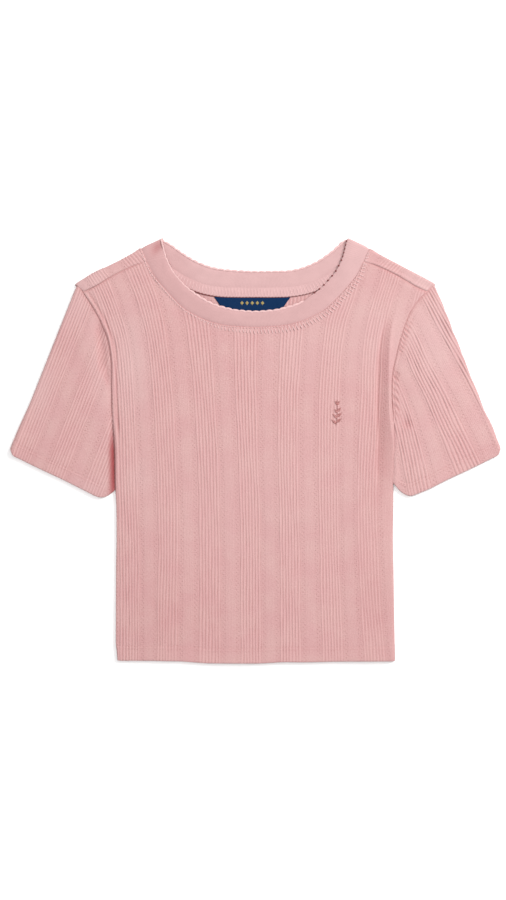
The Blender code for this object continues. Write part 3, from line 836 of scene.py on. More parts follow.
def inwards_of(q):
    """Plan distance inwards from the outline of a place across the cloth, round the fold."""
    bent = RADIUS * (1 - np.cos(np.clip(abs(q) / RADIUS, 0, math.pi / 2)))
    return np.where(abs(q) < ARC, bent, RADIUS + abs(q) - ARC)


def sleeve_q(columns, v, side):
    """Place across the cloth of each column, from the outer fold: above it on top, below it under."""
    table = SLEEVE_RIBS[side]
    period = PERIOD - 0.5
    bands = smooth(table[:, 0], table[:, 1:], v) + (ARC - RADIUS)
    before = bands[..., :1] - period * np.arange(4, 0, -1)
    after = bands[..., -1:] + period * np.arange(1, 3)
    return across_bands(np.concatenate((before, bands, after), axis=-1), columns)


def meets(columns, side, which, start):
    """Distance down the sleeve at which each column meets the upper bound, 0, or the hem, 1."""
    tables = [sleeve_bounds(side, lower)[which] for lower in (False, True)]
    v = np.full(len(columns), start)
    for _ in range(80):
        q = sleeve_q(columns, v, side)
        upper, lower = [level(table, inwards_of(q)) for table in tables]
        v = 0.5 * v + 0.5 * np.where(q > 0, upper, lower)
    return v


def sleeve_columns(side):
    """Places of a sleeve's columns in repeats, as far as it is over 2 mm long."""
    trial = np.linspace(-4.0, 4.0, 1601)
    long = (meets(trial, side, 1, 190.0) - meets(trial, side, 0, 100.0)) > 2.0
    middle = len(trial) // 2
    low = trial[middle - np.argmin(long[:middle][::-1])]
    high = trial[middle + np.argmin(long[middle:]) - 1]
    return knit_columns(low, high, STEPS_ON_PLAIN * (2 if side > 0 else 1))


def sleeve_rows(start, end):
    """Distance down the sleeve of each row, column by column."""
    drawn = np.minimum((end - start) / SHORT_COLUMN, 1)
    upper = start + np.array(ARMHOLE_ROWS)[:, None] * drawn
    lower = end - np.array(CUFF_ROWS)[::-1, None] * drawn
    shares = np.linspace(0, 1, SLEEVE_ROWS)[1:-1, None]
    return np.vstack((upper, upper[-1] + (lower[0] - upper[-1]) * shares, lower))


def sleeve_strength(side, q, v, x, y):
    """Strength of a sleeve's ribs against the body's, faint at +X where the seam gathers them."""
    if side < 0:
        return RIB_STRENGTH[side] * (1 + 0.5 * (1 - step(v, 40, 90)))
    strength = 1 + 0.4 * bell(q - 6, 10) - 0.3 * (1 - step(v, 10, 50))
    gathered = step(q, 22, 34) * step(y, 22, 44)
    return RIB_STRENGTH[side] * strength * (1 - gathered * (1 - step(x - half_width(y, side), 7, 15)))


def sleeve_inner_edge(side, from_edge, v, y):
    """Relief and painted shade of the upper layer along its inner edge, where it lies beside the body."""
    if side > 0:
        joined = step(-y, -44, -30)
        return joined * (0.6 * bell(from_edge - 4.4, 2.4) - 1.0 * (1 - rounded(from_edge, 2.2))), 0.0
    # Painted shade in the crevice between the sleeve and the body at -X
    closed = step(-y, -34, 2)
    shaded = (1 - step(from_edge, 3.4, 4.4 + 7.2 * closed)) * (0.6 + 0.4 * step(from_edge, 1.6, 3.6))
    return -2.9 * step(v, *UNDERARM_V) * np.exp(-((from_edge / 3.6) ** 1.4)), closed * shaded


def sleeve(side, material):
    """A tube laid flat: from its lower layer's inner edge, round the outer fold, to its upper layer's."""
    fold = SLEEVE_FOLD[side]
    name = "sleeve_on_" + ("left" if side > 0 else "right")
    columns = sleeve_columns(side)
    start, end = meets(columns, side, 0, 100.0), meets(columns, side, 1, 190.0)
    at_armhole = 1 - step(start, 118, 126)
    v = sleeve_rows(start - TUCK * at_armhole * (sleeve_q(columns, start, side) > ARC), end)
    q = sleeve_q(columns, v, side)
    inwards = inwards_of(q)
    turn = np.clip(q / RADIUS, -math.pi / 2, math.pi / 2)
    plan = fold.corner + v[..., None] * fold.along - inwards[..., None] * fold.out
    x, y = plan[..., 0], plan[..., 1]
    outward = np.concatenate((np.cos(turn)[..., None] * fold.out, np.sin(turn)[..., None]), axis=-1)
    height = RADIUS + RADIUS * np.sin(turn)
    outer = np.concatenate((plan, height[..., None]), axis=-1)

    on_top = step(q, 0, ARC)
    from_seam = (v - start) * ARMHOLE_SLANT
    off_seam = np.maximum(from_seam, 0)
    from_hem = end - v
    edges = [np.interp(v, *sleeve_bounds(side, lower)[0][:, ::-1].T) for lower in (False, True)]
    from_edge = np.maximum(np.where(q > 0, *edges) - inwards, 0)
    repeats = wandering(columns[None] + 0 * v, v)
    near_edge = (1 - fading(off_seam, 1.2)) * (1 - 0.35 * (1 - step(from_hem, 12.5, 14)))
    crown = CROWN * (1 - fading(off_seam, 12)) * (1 - fading(inwards, 10)) * (1 - fading(from_hem, 25))
    swells = waves(x, y, 60.0, 0.24, 11 + side) * (1 - fading(off_seam, 8))
    edge_relief, edge_dark = sleeve_inner_edge(side, from_edge, v, y)
    folds, fold_dark = sleeve_folds(q, v, x, y, off_seam, side)
    relief = rib_relief(repeats, v) * near_edge * sleeve_strength(side, q, v, x, y)
    relief += on_top * (crown + swells + edge_relief + folds) + hem_relief(from_hem, *CUFF_TURN)
    relief -= (1 - step(from_seam, -0.6, 1.0)) * 0.75 * at_armhole
    relief += bell(q, 7.0) * FLARE[side] * step(v, 130, 172)
    relief -= 1.3 * bell(q, 6.0) * fading(v, 3.5)
    relief = np.where(q < -ARC, np.minimum(relief, 0.0), relief)
    # Painted shade on the upper layer, and the broad painted light patches
    dark = on_top * (edge_dark + fold_dark * at_armhole) + painted_light_patches(x, y)
    outer = outer + outward * relief[..., None]
    over = WALL * (q > ARC)
    outer[..., 2] = np.maximum(outer[..., 2], over + 0.25 * (q > ARC))
    thickness = hem_wall(from_hem, CUFF_DEPTH)
    if side < 0:
        thickness = thickness - 0.3 * step(v, *UNDERARM_V) * on_top * bell(from_edge, 5)
    uv = paired(repeats, -v / PERIOD + 0.17 * side)
    made = cloth(name, outer, outward, thickness, uv, material, painted_light=dark, over=over)
    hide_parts("sleeve_left" if side > 0 else "sleeve_right")
    return made


def sleeve_folds(q, v, x, y, from_seam, side):
    """Height and painted shade of soft folds and seam puckers on a sleeve's upper layer."""
    if side > 0:
        diagonal = (x + y) / math.sqrt(2)
        pitch = np.where(y > 90, 4.0, 5.2)
        between = abs((diagonal / pitch + 0.12 * np.sin(diagonal / 5.0)) % 1 - 0.5)  # 0 in a pucker's middle
        beside = x - half_width(y, side)
        there = span(y, 98, 108, 134, 140) + 0.9 * span(y, 30, 40, 78, 86)
        there = there * span(beside, 0.8, 2.2, 5.0, 9.0) * (0.8 + 0.2 * np.sin(diagonal / 3.1))
        puckers = (0.45 - 1.15 * bell(between, 0.24)) * there
        welt = 0.45 * bell(from_seam - 2.2, 1.1) - 0.3 * bell(from_seam - 4.4, 1.2)
        welt = welt * step(v, 4, 12) * (1 - 0.6 * there)
        dimples = bell(np.hypot(q - 75, v - 75), 3.4) + 1.1 * bell(np.hypot(q - 82, v - 127), 4.2)
        # Painted shade in the puckers' hollows, in the dimples and along the armhole seam
        dark = 0.30 * bell(between, 0.2) * there + 0.12 * dimples
        dark = dark + 0.24 * fading(from_seam, 1.0) * step(v, 2, 8)
        return puckers + welt - dimples, dark
    lowered = -0.5 * bell(from_seam, 7.0)
    trough = bell(q - (41 + (v - 35) * 0.46), 4.4) * span(v, 26, 42, 66, 86)
    second = bell(q - (57 + (v - 60) * 0.5), 3.0) * span(v, 44, 56, 80, 96)
    raised = 0.7 * bell(q - 32, 9.0) * bell(v - 44, 24)
    # Painted shade in the two troughs and along the armhole seam
    dark = 0.14 * trough + 0.12 * second + 0.30 * fading(from_seam, 1.0)
    return lowered - 2.0 * trough - 0.9 * second + raised, dark


# Neck


def ring_lines(n_front, n_rise, n_arc, n_back):
    """Rings round the neck, at the seam and at the free edge: outer points and outward vectors."""
    rings = []
    for front, back, back_left, axis in (
        (FRONT_SEAM, BACK_SEAM, BACK_SEAM, NECK_CORNER),
        (FRONT_EDGE, BACK_EDGE, BACK_EDGE_LEFT, SHOULDER[1].axis),
    ):
        on_front = curve(mirrored(front), np.linspace(0, 1, n_front))
        on_back = curve(mirrored(back, axis, back_left), np.linspace(1, 0, n_back))
        points = [at_height(on_front, TOP)]
        outward = [np.tile(UP, (n_front, 1))]
        for side in (1, -1):
            fold = SHOULDER[side]
            spot = axis * (side, 1)
            corner = on_front[-1] if side > 0 else on_front[0]
            t = np.linspace(0, 1, n_rise + 1)[1:, None]
            rise = at_height(corner * (1 - t) + spot * t, TOP)
            turn = np.linspace(math.pi, 0, n_arc + 1)[1:, None]
            radial = np.column_stack((np.sin(turn) * fold.out, -np.cos(turn)))
            bend = np.append(spot, RADIUS) + RADIUS * radial
            if side > 0:
                points += [rise, bend, at_height(on_back[1:-1], 0.0)]
                outward += [np.tile(UP, (n_rise, 1)), radial, np.tile(-UP, (n_back - 2, 1))]
            else:
                points += [bend[::-1], rise[::-1]]
                outward += [radial[::-1], np.tile(UP, (n_rise, 1))]
        rings.append((np.vstack(points), np.vstack(outward)))
    return rings


def ring_lengths(line):
    """Distance round a closed line at each point, and once more at its end."""
    return run_of(np.vstack((line, line[:1])))


def turned_in(rings):
    """1 where the picot lies behind the front band's edge, at +X, and 0 elsewhere."""
    edge, edge_out = rings[1]
    low, high = PICOT_TURNS_IN
    return step(edge_out[:, 2], -0.2, 0.9) * step(edge[:, 0], low, high)


def neck_rows(rings, shares):
    """Points and outward vectors at shares of the way from the neck seam to the free edge."""
    (seam, seam_out), (edge, edge_out) = rings
    shares = np.asarray(shares)[..., None]
    outward = seam_out * (1 - shares) + edge_out * shares
    outward /= np.linalg.norm(outward, axis=-1)[..., None]
    return seam * (1 - shares) + edge * shares, outward


def neckband(material):
    """The ring of rib knit round the neck, from its seam to its free edge."""
    rings = ring_lines(241, 9, 9, 161)
    beside_seam = (-0.06, -0.02, 0.0, 0.02, 0.05, 0.09)
    across = np.concatenate((beside_seam, np.linspace(0.14, 0.80, 9), (0.84, 0.87, 0.885)))
    share = across[:, None] * (1 + 0.115 * turned_in(rings))
    outer, outward = neck_rows(rings, share)
    x, y = outer[..., 0], outer[..., 1]
    middle = np.maximum(across, 0) / across[-1]
    around = ring_lengths(rings[0][0])
    roll = (1 - abs(2 * middle - 1) ** 4.0)[:, None]
    on_top = step(outward[..., 2], -0.2, 0.8)
    lumps = 0.14 * np.sin(around[:-1] / 9.0) * np.sin(around[:-1] / 23.0 + 1.0)
    bulge = (0.85 * roll - 0.35) * (0.75 + 0.25 * on_top) + lumps * roll + 14.0 * np.minimum(share, 0)
    bulge = bulge + 1.5 * (1 - abs(outward[..., 2])) * bell(abs(x) - HUMP, 9)
    # A valley pressed into the band where it turns over the shoulder at -X
    valley = (x + 102.5) * 0.80 + (y - 214.0) * -0.60
    along = (x + 102.5) * 0.60 + (y - 214.0) * 0.80
    dimple = -1.9 * bell(valley, 4.0) * bell(along, 8.5) - 0.5 * bell(x + 99, 3.0) * bell(y - 205, 16)
    relief = (bulge + dimple) * on_top
    outer = outer + outward * relief[..., None]
    thickness = BAND_WALL + (1 - on_top) * (0.7 * roll - 0.5) + 0 * share
    uv = paired(across[:, None] * BAND_RUN / PERIOD, around[None] / PERIOD)
    # Painted shade: in the dimple's valley, more towards -X on top, and on the back's part of the band near
    # -X, in the front band's shadow
    dimmed = 0.34 * bell(valley, 4.2) * bell(along, 9.0)
    dimmed = dimmed + 0.01 + 0.1 * step(-x, -104, -62) + 0.06 * step(-x, 0, 80)
    dark = on_top * dimmed + (1 - on_top) * (0.03 + 0.09 * bell(x + 84, 16))
    made = cloth("neckband_rib", outer, outward, thickness, uv, material, closed=True, painted_light=dark)
    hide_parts("neckband")
    return made


def picot(material):
    """Small loops of thread side by side along the band's free edge, on a narrow tape."""
    rings = ring_lines(841, 27, 19, 561)
    edge = rings[1][0]
    around = ring_lengths(edge)
    count = round(around[-1] / PICOT_PITCH)
    phase = around[:-1] / around[-1] * count
    in_front = step(rings[1][1][:, 2], 0.0, 0.9)
    thin = in_front * (1 - step(edge[:, 0], -78, -60))
    turned = turned_in(rings)
    lobe = abs(np.sin(math.pi * phase)) ** 0.6 * (1 - 0.6 * thin)
    reach = 0.958 + 0.058 * lobe - 0.03 * thin - 0.075 * turned
    rows = np.array((0.0, 0.14, 0.34, 0.58, 0.8, 0.94, 1.0))[:, None]
    outer, outward = neck_rows(rings, PICOT_ROOT + (reach - PICOT_ROOT)[None] * rows)
    round_over = np.sqrt(np.clip(1 - (2 * rows - 1) ** 2, 0, 1))
    swell = 0.75 * round_over * (0.25 + 0.75 * lobe[None])
    on_top = step(outward[..., 2], -0.2, 0.8)
    outer = outer + outward * ((swell - 0.55 - 1.3 * turned) * on_top)[..., None]
    thickness = 0.25 + 0.65 * round_over + (1 - on_top) * swell
    uv = paired(rows * 3 / PERIOD, around[None] / PERIOD)
    made = cloth("picot_edge", outer, outward, thickness, uv, material, closed=True)
    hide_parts("picot_trim")
    return made


def neck_allowance(material):
    """The neck seam's allowance, turned down on the back's inner face."""
    line = curve(mirrored(BACK_SEAM, NECK_CORNER), np.linspace(0.03, 0.97, 240))
    down = right_of(line)
    run = run_of(line)
    puckers = np.sin(run * math.tau / ALLOWANCE_PUCKERS)
    rows = np.array((-0.2, -0.1, 0.0, 0.1, 0.3, 0.5, 0.7, 0.85, 0.94, 1.0))
    edge = ALLOWANCE * (1 + 0.035 * puckers)
    outer = line[None] + down[None] * (rows[:, None] * edge)[..., None]
    lift = WALL + 0.5 + 1.35 * np.clip(rows, 0, 1)[:, None] ** 0.7 + 3.5 * np.minimum(rows, 0)[:, None]
    lift = lift - 0.5 * (1 - rounded(1 - rows, 0.12))[:, None] + 0.14 * puckers[None]
    outer = np.concatenate((outer, lift[..., None]), axis=-1)
    uv = paired(rows[:, None] * ALLOWANCE / PERIOD, run[None] / PERIOD)
    # Painted shade, deeper towards x = -70
    dark = 0.03 + 0.12 * bell(line[:, 0] + 70, 16)
    made = cloth("neck_allowance", outer, UP, 0.9, uv, material, painted_light=dark)
    return made, line, down


def label(material):
    """The woven label under the neck seam, its ends folded back on a slant."""
    columns = np.linspace(-1, 1, 61)
    rows = np.linspace(0, 1, 17)[:, None]
    half = (LABEL_TOP * (1 - rows) + LABEL_BOTTOM * rows) / 2
    x = LABEL_MIDDLE[0] + columns * half
    y = LABEL_MIDDLE[1] - rows * LABEL_HEIGHT + 0 * x
    height = LABEL_FACE + 0.12 * np.sin(x / 11.0 + 0.5) * np.sin(y / 9.0)
    height = height - 0.2 * fading((1 - abs(columns)) * half, 0.6)
    outer = np.stack((x, y, height), axis=-1)
    uv = paired(x / PERIOD, y / PERIOD)
    made = cloth("label", outer, UP, LABEL_WALL, uv, material)
    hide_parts("neck_label")
    return made


def label_motif(material):
    """A row of small woven lozenges."""
    starts, ends = [], []
    y, z = LABEL_MIDDLE[1] - 6.6, LABEL_FACE + 0.12
    for middle in np.arange(-2, 3) * LOZENGE_PITCH + LABEL_MIDDLE[0]:
        for part in np.linspace(-1, 1, 9)[1:-1]:
            x, half = middle + part * LOZENGE_HALF[0], LOZENGE_HALF[1] * (1 - abs(part))
            starts.append((x, y - half, z))
            ends.append((x, y + half, z))
    made = threads("label_lozenges", [[starts, ends]], 0.26, 0.1, material)
    return made


# Stitches


class Surface:
    """The upper faces of some pieces, to set stitches on."""

    def __init__(self, *pieces):
        points, faces = [], []
        for piece in pieces:
            mesh = piece.data
            flat = np.empty(3 * len(mesh.vertices), np.float32)
            mesh.vertices.foreach_get("co", flat)
            corners = np.empty(len(mesh.loops), np.int32)
            mesh.loops.foreach_get("vertex_index", corners)
            faces.append(corners.reshape(-1, 4) + sum(len(p) for p in points))
            points.append(flat.reshape(-1, 3))
        self.tree = BVHTree.FromPolygons(np.vstack(points).tolist(), np.vstack(faces).tolist())

    def heights(self, places, upward=False):
        """Height of the surface in millimetres at each place, seen from above or from under."""
        found = []
        for x, y in places:
            start = (x * MM, y * MM, -1.0 if upward else 1.0)
            hit = self.tree.ray_cast(start, (0.0, 0.0, -start[2]))[0]
            found.append(math.nan if hit is None else hit[2] / MM)
        return np.array(found)

    def on(self, places, sink=0.0):
        return np.column_stack((places, self.heights(places) - sink))

    def under(self, places):
        return np.column_stack((places, self.heights(places, upward=True) + 0.12))


def stitches_across(line, way, spacing, low, high, slant):
    """Ends of slanting stitches that cross a line, spaced along it.

    Low and high are tables of their ends along way, by shares of the line's length.
    """
    run = run_of(line)
    at = np.arange(spacing / 2, run[-1], spacing)
    spots, out = read(line, run, at), read(way, run, at)
    tilt = read(ways(line), run, at) * slant
    low, high = [np.interp(at / run[-1], *np.array(table).T)[:, None] for table in (low, high)]
    return spots + out * low - tilt, spots + out * high + tilt


def stitches_along(line, length, spacing):
    """Ends of running stitches along a line."""
    run = run_of(line)
    at = np.arange(spacing / 2, run[-1] - length, spacing)
    return read(line, run, at), read(line, run, at + length)


def hem_rows(shirt, line):
    """Hem stitches along a line, on the upper face and on the lower one."""
    ends = stitches_along(line, *HEM_STITCH)
    return [[shirt.on(p, 0.06) for p in ends], [shirt.under(p) for p in ends]]


def neck_stitches(shirt, material):
    """Looper threads in short ridges across the neck seam's front, and a row of stitches beside it."""
    line = curve(mirrored(FRONT_SEAM, NECK_CORNER), np.linspace(0, 1, 700))
    away = right_of(line)
    shares = (0.0, 0.06, 0.30, 0.38, 0.5, 0.62, 0.90, 0.95, 1.0)
    near = tuple(zip(shares, (-0.6, 0.8, 0.9, 2.2, 2.6, 2.4, 2.2, 0.0, -0.6)))
    far = tuple(zip(shares, (3.0, 2.6, 2.4, 5.5, 7.4, 8.4, 8.4, 4.0, 3.0)))
    crossing = stitches_across(line, away, 3.7, near, far, 0.7)
    beside = stitches_along(line + away * 1.3, 2.1, 2.9)
    looped = threads("neck_looping", [[shirt.on(p, 0.1) for p in crossing]], 0.56, 0.26, material)
    rowed = threads("neck_stitches", [[shirt.on(p) for p in beside]], 0.42, 0.3, material)
    return [looped, rowed]


def picot_shadows(material):
    """Painted shadow: dark beads of thread along the band's edge at +X, where the picot's loops turn in
    behind it.
    """
    line = curve(np.vstack((FRONT_EDGE, SHOULDER[1].axis)), np.linspace(0, 1, 900))
    run = run_of(line)
    starts, ends = [], []
    at = run[-1] - 1.5
    while at > 0:
        spot, way, out = [read(table, run, at) for table in (line, ways(line), right_of(line))]
        if spot[0] < PICOT_SHADOWS_END:
            break
        starts.append(spot + out * 0.1 - way)
        ends.append(spot + out * 0.1 + way)
        at -= 4.2 if spot[1] > PICOT_SHADOWS_CLOSER else 6.4
    pairs = [[at_height(p, TOP - 0.9) for p in (starts, ends)]]
    girth = np.where(np.array(starts)[:, 1] > PICOT_SHADOWS_CLOSER, 0.85, 1.1)
    return threads("picot_painted_shadows", pairs, girth, 0.1, material)


def hem_stitches(shirt, material):
    """Two rows of running stitches round the hem, front and back."""
    pairs = []
    x = np.linspace(-144.0, 144.0, 400)
    for depth in HEM_STITCHES:
        pairs += hem_rows(shirt, np.column_stack((x, level(HEM, x) + depth)))
    return threads("hem_stitches", pairs, 0.2, 0.08, material)


def cuff_stitches(shirt, material):
    """The same round each sleeve's hem."""
    pairs = []
    for side, inner_end in ((-1, 105.0), (1, 112.0)):
        fold = SLEEVE_FOLD[side]
        inwards = np.linspace(3.0, inner_end, 200)
        hem = level(sleeve_bounds(side, False)[1], inwards)
        for depth in CUFF_STITCHES:
            line = fold.corner + (hem - depth)[:, None] * fold.along - inwards[:, None] * fold.out
            pairs += hem_rows(shirt, line)
    return threads("cuff_stitches", pairs, 0.2, 0.08, material)


def inside_stitches(allowance, line, down, material):
    """Looper threads across the neck seam's allowance."""
    near, far = [((0.0, end), (1.0, end)) for end in (0.7, ALLOWANCE - 1.0)]
    ends = stitches_across(line, down, ALLOWANCE_PUCKERS, near, far, 0.35)
    return threads("allowance_stitches", [[allowance.on(p, 0.1) for p in ends]], 0.4, 0.25, material)


def edge_loops_painted_shadow(line, down, material):
    """Looper thread along the allowance's free edge, dark as painted shadow under that edge, thicker at -X.
    """
    edge = line + down * (ALLOWANCE + 0.2)
    shown = abs(edge[:, 0] - LABEL_MIDDLE[0]) < EDGE_LOOPS_REACH
    starts, ends = stitches_along(edge[shown], 2.7, 2.3)
    pairs = [[at_height(p, WALL + 1.0) for p in (starts, ends)]]
    girth = 0.62 - 0.3 * step(starts[:, 0], -48, -36) + 0.1 * bell(starts[:, 0] - 64, 6)
    return threads("edge_loops_painted_shadow", pairs, girth, 0.05, material)


def leaf(base, angle, length, width):
    """Satin stitches that fill a leaf from its base: each crosses it at a slant."""
    along = np.array((math.cos(angle), math.sin(angle)))
    across = np.array((-along[1], along[0]))
    starts, ends = [], []
    for t in np.arange(0.04, 0.98, SATIN_PITCH / length):
        half = width / 2 * math.sin(math.pi * t**0.8)
        middle = np.array(base) + along * length * t
        lean = along * half * 0.55
        starts.append(middle - across * half - lean)
        ends.append(middle + across * half - lean)
    return np.array(starts), np.array(ends)


def sprig(front, material):
    """A small satin-stitched sprig: a stem, three pairs of leaves and a bud."""
    t = np.linspace(0, 1, 24)
    stem = np.column_stack((SPRIG[0] - 1.0 + 1.6 * np.sin(t * 2.2), SPRIG[1] - 13.0 + 22.0 * t))
    pieces = [(stem[:-1], stem[1:])]
    for at, lean, length in ((3, 0.62, 6.6), (9, 0.72, 6.2), (15, 0.85, 5.0)):
        for hand in (-1, 1):
            angle = math.pi / 2 - hand * (math.pi / 2 - lean)
            pieces.append(leaf(stem[at] + (hand * 0.4, hand * 0.7), angle, length, 3.2))
    for turn in (-0.55, 0.0, 0.55):
        pieces.append(leaf(stem[-1] - (0, 0.4), math.pi / 2 - turn, 5.2, 2.6))
    pairs = [[front.on(p, -0.15) for p in ends] for ends in pieces]
    return threads("chest_sprig", pairs, 0.34, 0.3, material)


# Materials


class Graph:
    """A material's nodes, added one by one, each returning its output socket."""

    def __init__(self, name):
        self.material = bpy.data.materials.new(name)
        self.material.use_nodes = True
        self.tree = self.material.node_tree
        self.shader = self.tree.nodes["Principled BSDF"]

    def node(self, kind, inputs=(), output=0, **settings):
        made = self.tree.nodes.new(kind)
        for key, value in settings.items():
            setattr(made, key, value)
        for key, value in dict(inputs).items():
            self.put(made.inputs[key], value)
        return made.outputs[output]

    def put(self, socket, value):
        """Link another node's output to an input, or set the input's value."""
        if isinstance(value, bpy.types.NodeSocket):
            self.tree.links.new(value, socket)
        else:
            socket.default_value = value

    def math(self, operation, *values):
        return self.node("ShaderNodeMath", dict(enumerate(values)), operation=operation)

    def times(self, a, b, plus=None):
        """The product of two values, with a third added to it where one is given."""
        return self.math("MULTIPLY", a, b) if plus is None else self.math("MULTIPLY_ADD", a, b, plus)

    def minus(self, a, b):
        return self.math("SUBTRACT", a, b)

    def size(self, a):
        return self.math("ABSOLUTE", a)

    def soft(self, value, low, high):
        """0 below low, 1 above high, smooth between."""
        inputs = {0: value, 1: low, 2: high, 3: 0.0, 4: 1.0}
        return self.node("ShaderNodeMapRange", inputs, interpolation_type="SMOOTHSTEP")

    def mix(self, share, a, b):
        inputs = {0: share, 6: a, 7: b}
        return self.node("ShaderNodeMix", inputs, output=2, data_type="RGBA")

    def noise(self, vector, scale, detail=2.0):
        return self.node("ShaderNodeTexNoise", {"Vector": vector, "Scale": scale, "Detail": detail})

    def uv(self):
        """U and V in millimetres, and the UV vector."""
        vector = self.node("ShaderNodeUVMap", uv_map="cloth")
        parts = self.tree.nodes.new("ShaderNodeSeparateXYZ")
        self.put(parts.inputs[0], vector)
        return parts.outputs[0], parts.outputs[1], vector

    def with_painted_light(self, colour):
        """The colour with painted light: deeper where light goes from fold to fold, as painted shade, and
        paler where the value is under 0, as painted highlight.
        """
        depth = self.node("ShaderNodeAttribute", output=2, attribute_name="painted_light")
        colour = self.mix(self.times(depth, -4.0), colour, rgba(PAINTED_HIGHLIGHT_PINK))
        return self.mix(depth, colour, rgba(PAINTED_SHADE_PINK))

    def finish(self, colour, bump, distance, roughness, sheen, gloss=0.18):
        """The material, with its relief as a bump of some millimetres."""
        relief = {"Height": bump, "Strength": 1.0, "Distance": distance * MM}
        inputs = {
            "Base Color": colour,
            "Roughness": roughness,
            "Sheen Weight": sheen,
            "Sheen Roughness": 0.45,
            "Sheen Tint": (1.0, 0.9, 0.89, 1.0),
            "Specular IOR Level": gloss,
            "Normal": self.node("ShaderNodeBump", relief),
        }
        for key, value in inputs.items():
            self.put(self.shader.inputs[key], value)
        return self.material


def rgba(colour, factor=1.0):
    return (*[c * factor for c in colour], 1.0)


def loops(g, u, v, wale, course):
    """Rows of knitted loops: a height from 0 to 1, with slanted legs."""
    across = g.times(u, PERIOD / wale)
    half = g.size(g.minus(g.math("FRACT", across), 0.5))
    slant = g.times(v, PERIOD / course, g.times(half, 1.1))
    leg = g.math("SINE", g.times(slant, math.tau))
    ridge = g.minus(1.0, g.times(g.math("POWER", half, 2.0), 4.0))
    return g.times(ridge, g.times(leg, 0.3, 0.7))


def jersey(name):
    """Cotton jersey with bands of ribs and columns of eyelets, from the UV map's repeats."""
    g = Graph(name)
    u, v, vector = g.uv()
    deep = rgba(DEEP_PINK)
    place = g.minus(g.math("FRACT", g.math("ADD", u, 0.5)), 0.5)
    out = g.size(place)
    in_band = g.minus(1.0, g.soft(out, RIB_BAND - 0.01, RIB_BAND + 0.01))
    crest = g.math("COSINE", g.times(place, math.tau / RIB_PITCH))
    furrow = g.times(in_band, g.soft(crest, 0.0, -1.0))
    ridge = g.times(in_band, g.soft(crest, 0.2, 1.0))
    patchy = g.soft(g.noise(vector, 3.1, 3.0), 0.35, 0.65)
    # Eyelets, in two rows that step past each other
    off = g.times(g.minus(out, EYELET_AT), PERIOD)
    lane = g.math("SIGN", off)
    beside = g.minus(g.size(off), 0.95)
    along = g.math("FRACT", g.times(lane, 0.25, g.times(v, PERIOD / 4.6)))
    below = g.times(g.minus(along, 0.5), 4.6)
    distance = g.math("SQRT", g.math("ADD", g.math("POWER", beside, 2.0), g.math("POWER", below, 2.0)))
    eyelet = g.minus(1.0, g.soft(distance, 0.3, 0.95))
    thin = g.minus(1.0, g.soft(g.size(off), 1.4, 3.4))
    # Colour: random patches and grain, painted highlight on the rib crests, painted shade in the furrows and
    # eyelets
    patches = g.noise(vector, 1.6, 4.0)
    grain = g.noise(vector, 30.0, 3.0)
    shade = g.mix(g.soft(patches, 0.3, 0.7), *[rgba(colour) for colour in PATCH_PINKS])
    shade = g.mix(g.soft(grain, 0.3, 0.7), g.mix(0.24, shade, deep), shade)
    # Painted highlight: lighter pink on each rib's crest
    shade = g.mix(g.times(ridge, 0.5), shade, rgba(PINK, 1.12))
    # Painted shade: deeper pink in each rib's furrow
    shade = g.mix(g.times(furrow, g.times(patchy, 0.12, 0.16)), shade, deep)
    # Darker along each eyelet column, and painted shade in the eyelets' holes
    shade = g.mix(g.times(thin, 0.05), shade, deep)
    shade = g.mix(g.times(eyelet, g.times(patchy, 0.2, 0.06)), shade, deep)
    # Relief
    fine = loops(g, u, v, PERIOD * RIB_PITCH / 2, 0.95)
    fuzz = g.noise(vector, 200.0, 3.0)
    relief = g.times(fuzz, 0.25, g.times(fine, 0.5))
    relief = g.times(grain, 1.1, relief)
    relief = g.minus(relief, g.times(eyelet, 0.7))
    return g.finish(g.with_painted_light(shade), relief, 0.32, 0.92, 0.25)


def rib_knit(name, colour, wale, course, depth):
    """A fine knit with no pattern, for the neckband and the seam allowance."""
    g = Graph(name)
    u, v, vector = g.uv()
    fine = loops(g, v, u, wale, course)
    patches = g.noise(vector, 2.0, 4.0)
    shade = g.mix(g.soft(patches, 0.3, 0.7), rgba(colour, 0.97), rgba(colour, 1.03))
    # Painted shade: deeper pink in the hollows between the loops
    shade = g.mix(g.times(g.minus(1.0, fine), 0.16), shade, rgba(DEEP_PINK))
    fuzz = g.noise(vector, 260.0, 3.0)
    relief = g.times(fuzz, 0.25, fine)
    return g.finish(g.with_painted_light(shade), relief, depth, 0.92, 0.25)


def yarn(name, colour, deep):
    """Twisted cotton thread."""
    g = Graph(name)
    twist = g.noise(g.node("ShaderNodeNewGeometry"), 900.0)
    shade = g.mix(g.soft(twist, 0.3, 0.7), rgba(deep), rgba(colour))
    return g.finish(shade, twist, 0.12, 0.8, 0.3)


def satin(name, colour):
    """A tape woven in satin: fine warp floats with a faint lustre."""
    g = Graph(name)
    u, v, vector = g.uv()
    warp = g.math("SINE", g.times(u, PERIOD / 0.5 * math.tau))
    weft = g.math("SINE", g.times(v, PERIOD / 0.42 * math.tau, g.times(u, PERIOD * 2.4)))
    weave = g.times(warp, 0.5, g.times(weft, 0.5))
    patches = g.noise(vector, 5.0, 3.0)
    shade = g.mix(g.soft(weave, -0.8, 0.8), rgba(colour, 0.75), rgba(colour, 1.3))
    shade = g.mix(g.times(patches, 0.2), shade, rgba(colour, 1.5))
    return g.finish(shade, weave, 0.06, 0.5, 0.02, 0.06)


def paper(name):
    """The pale floor, with a faint tooth."""
    g = Graph(name)
    tooth = g.noise(g.node("ShaderNodeNewGeometry"), 60.0, 4.0)
    shade = g.mix(tooth, (0.93, 0.93, 0.93, 1.0), (0.95, 0.95, 0.95, 1.0))
    return g.finish(shade, tooth, 0.02, 0.9, 0.0)


# Stage

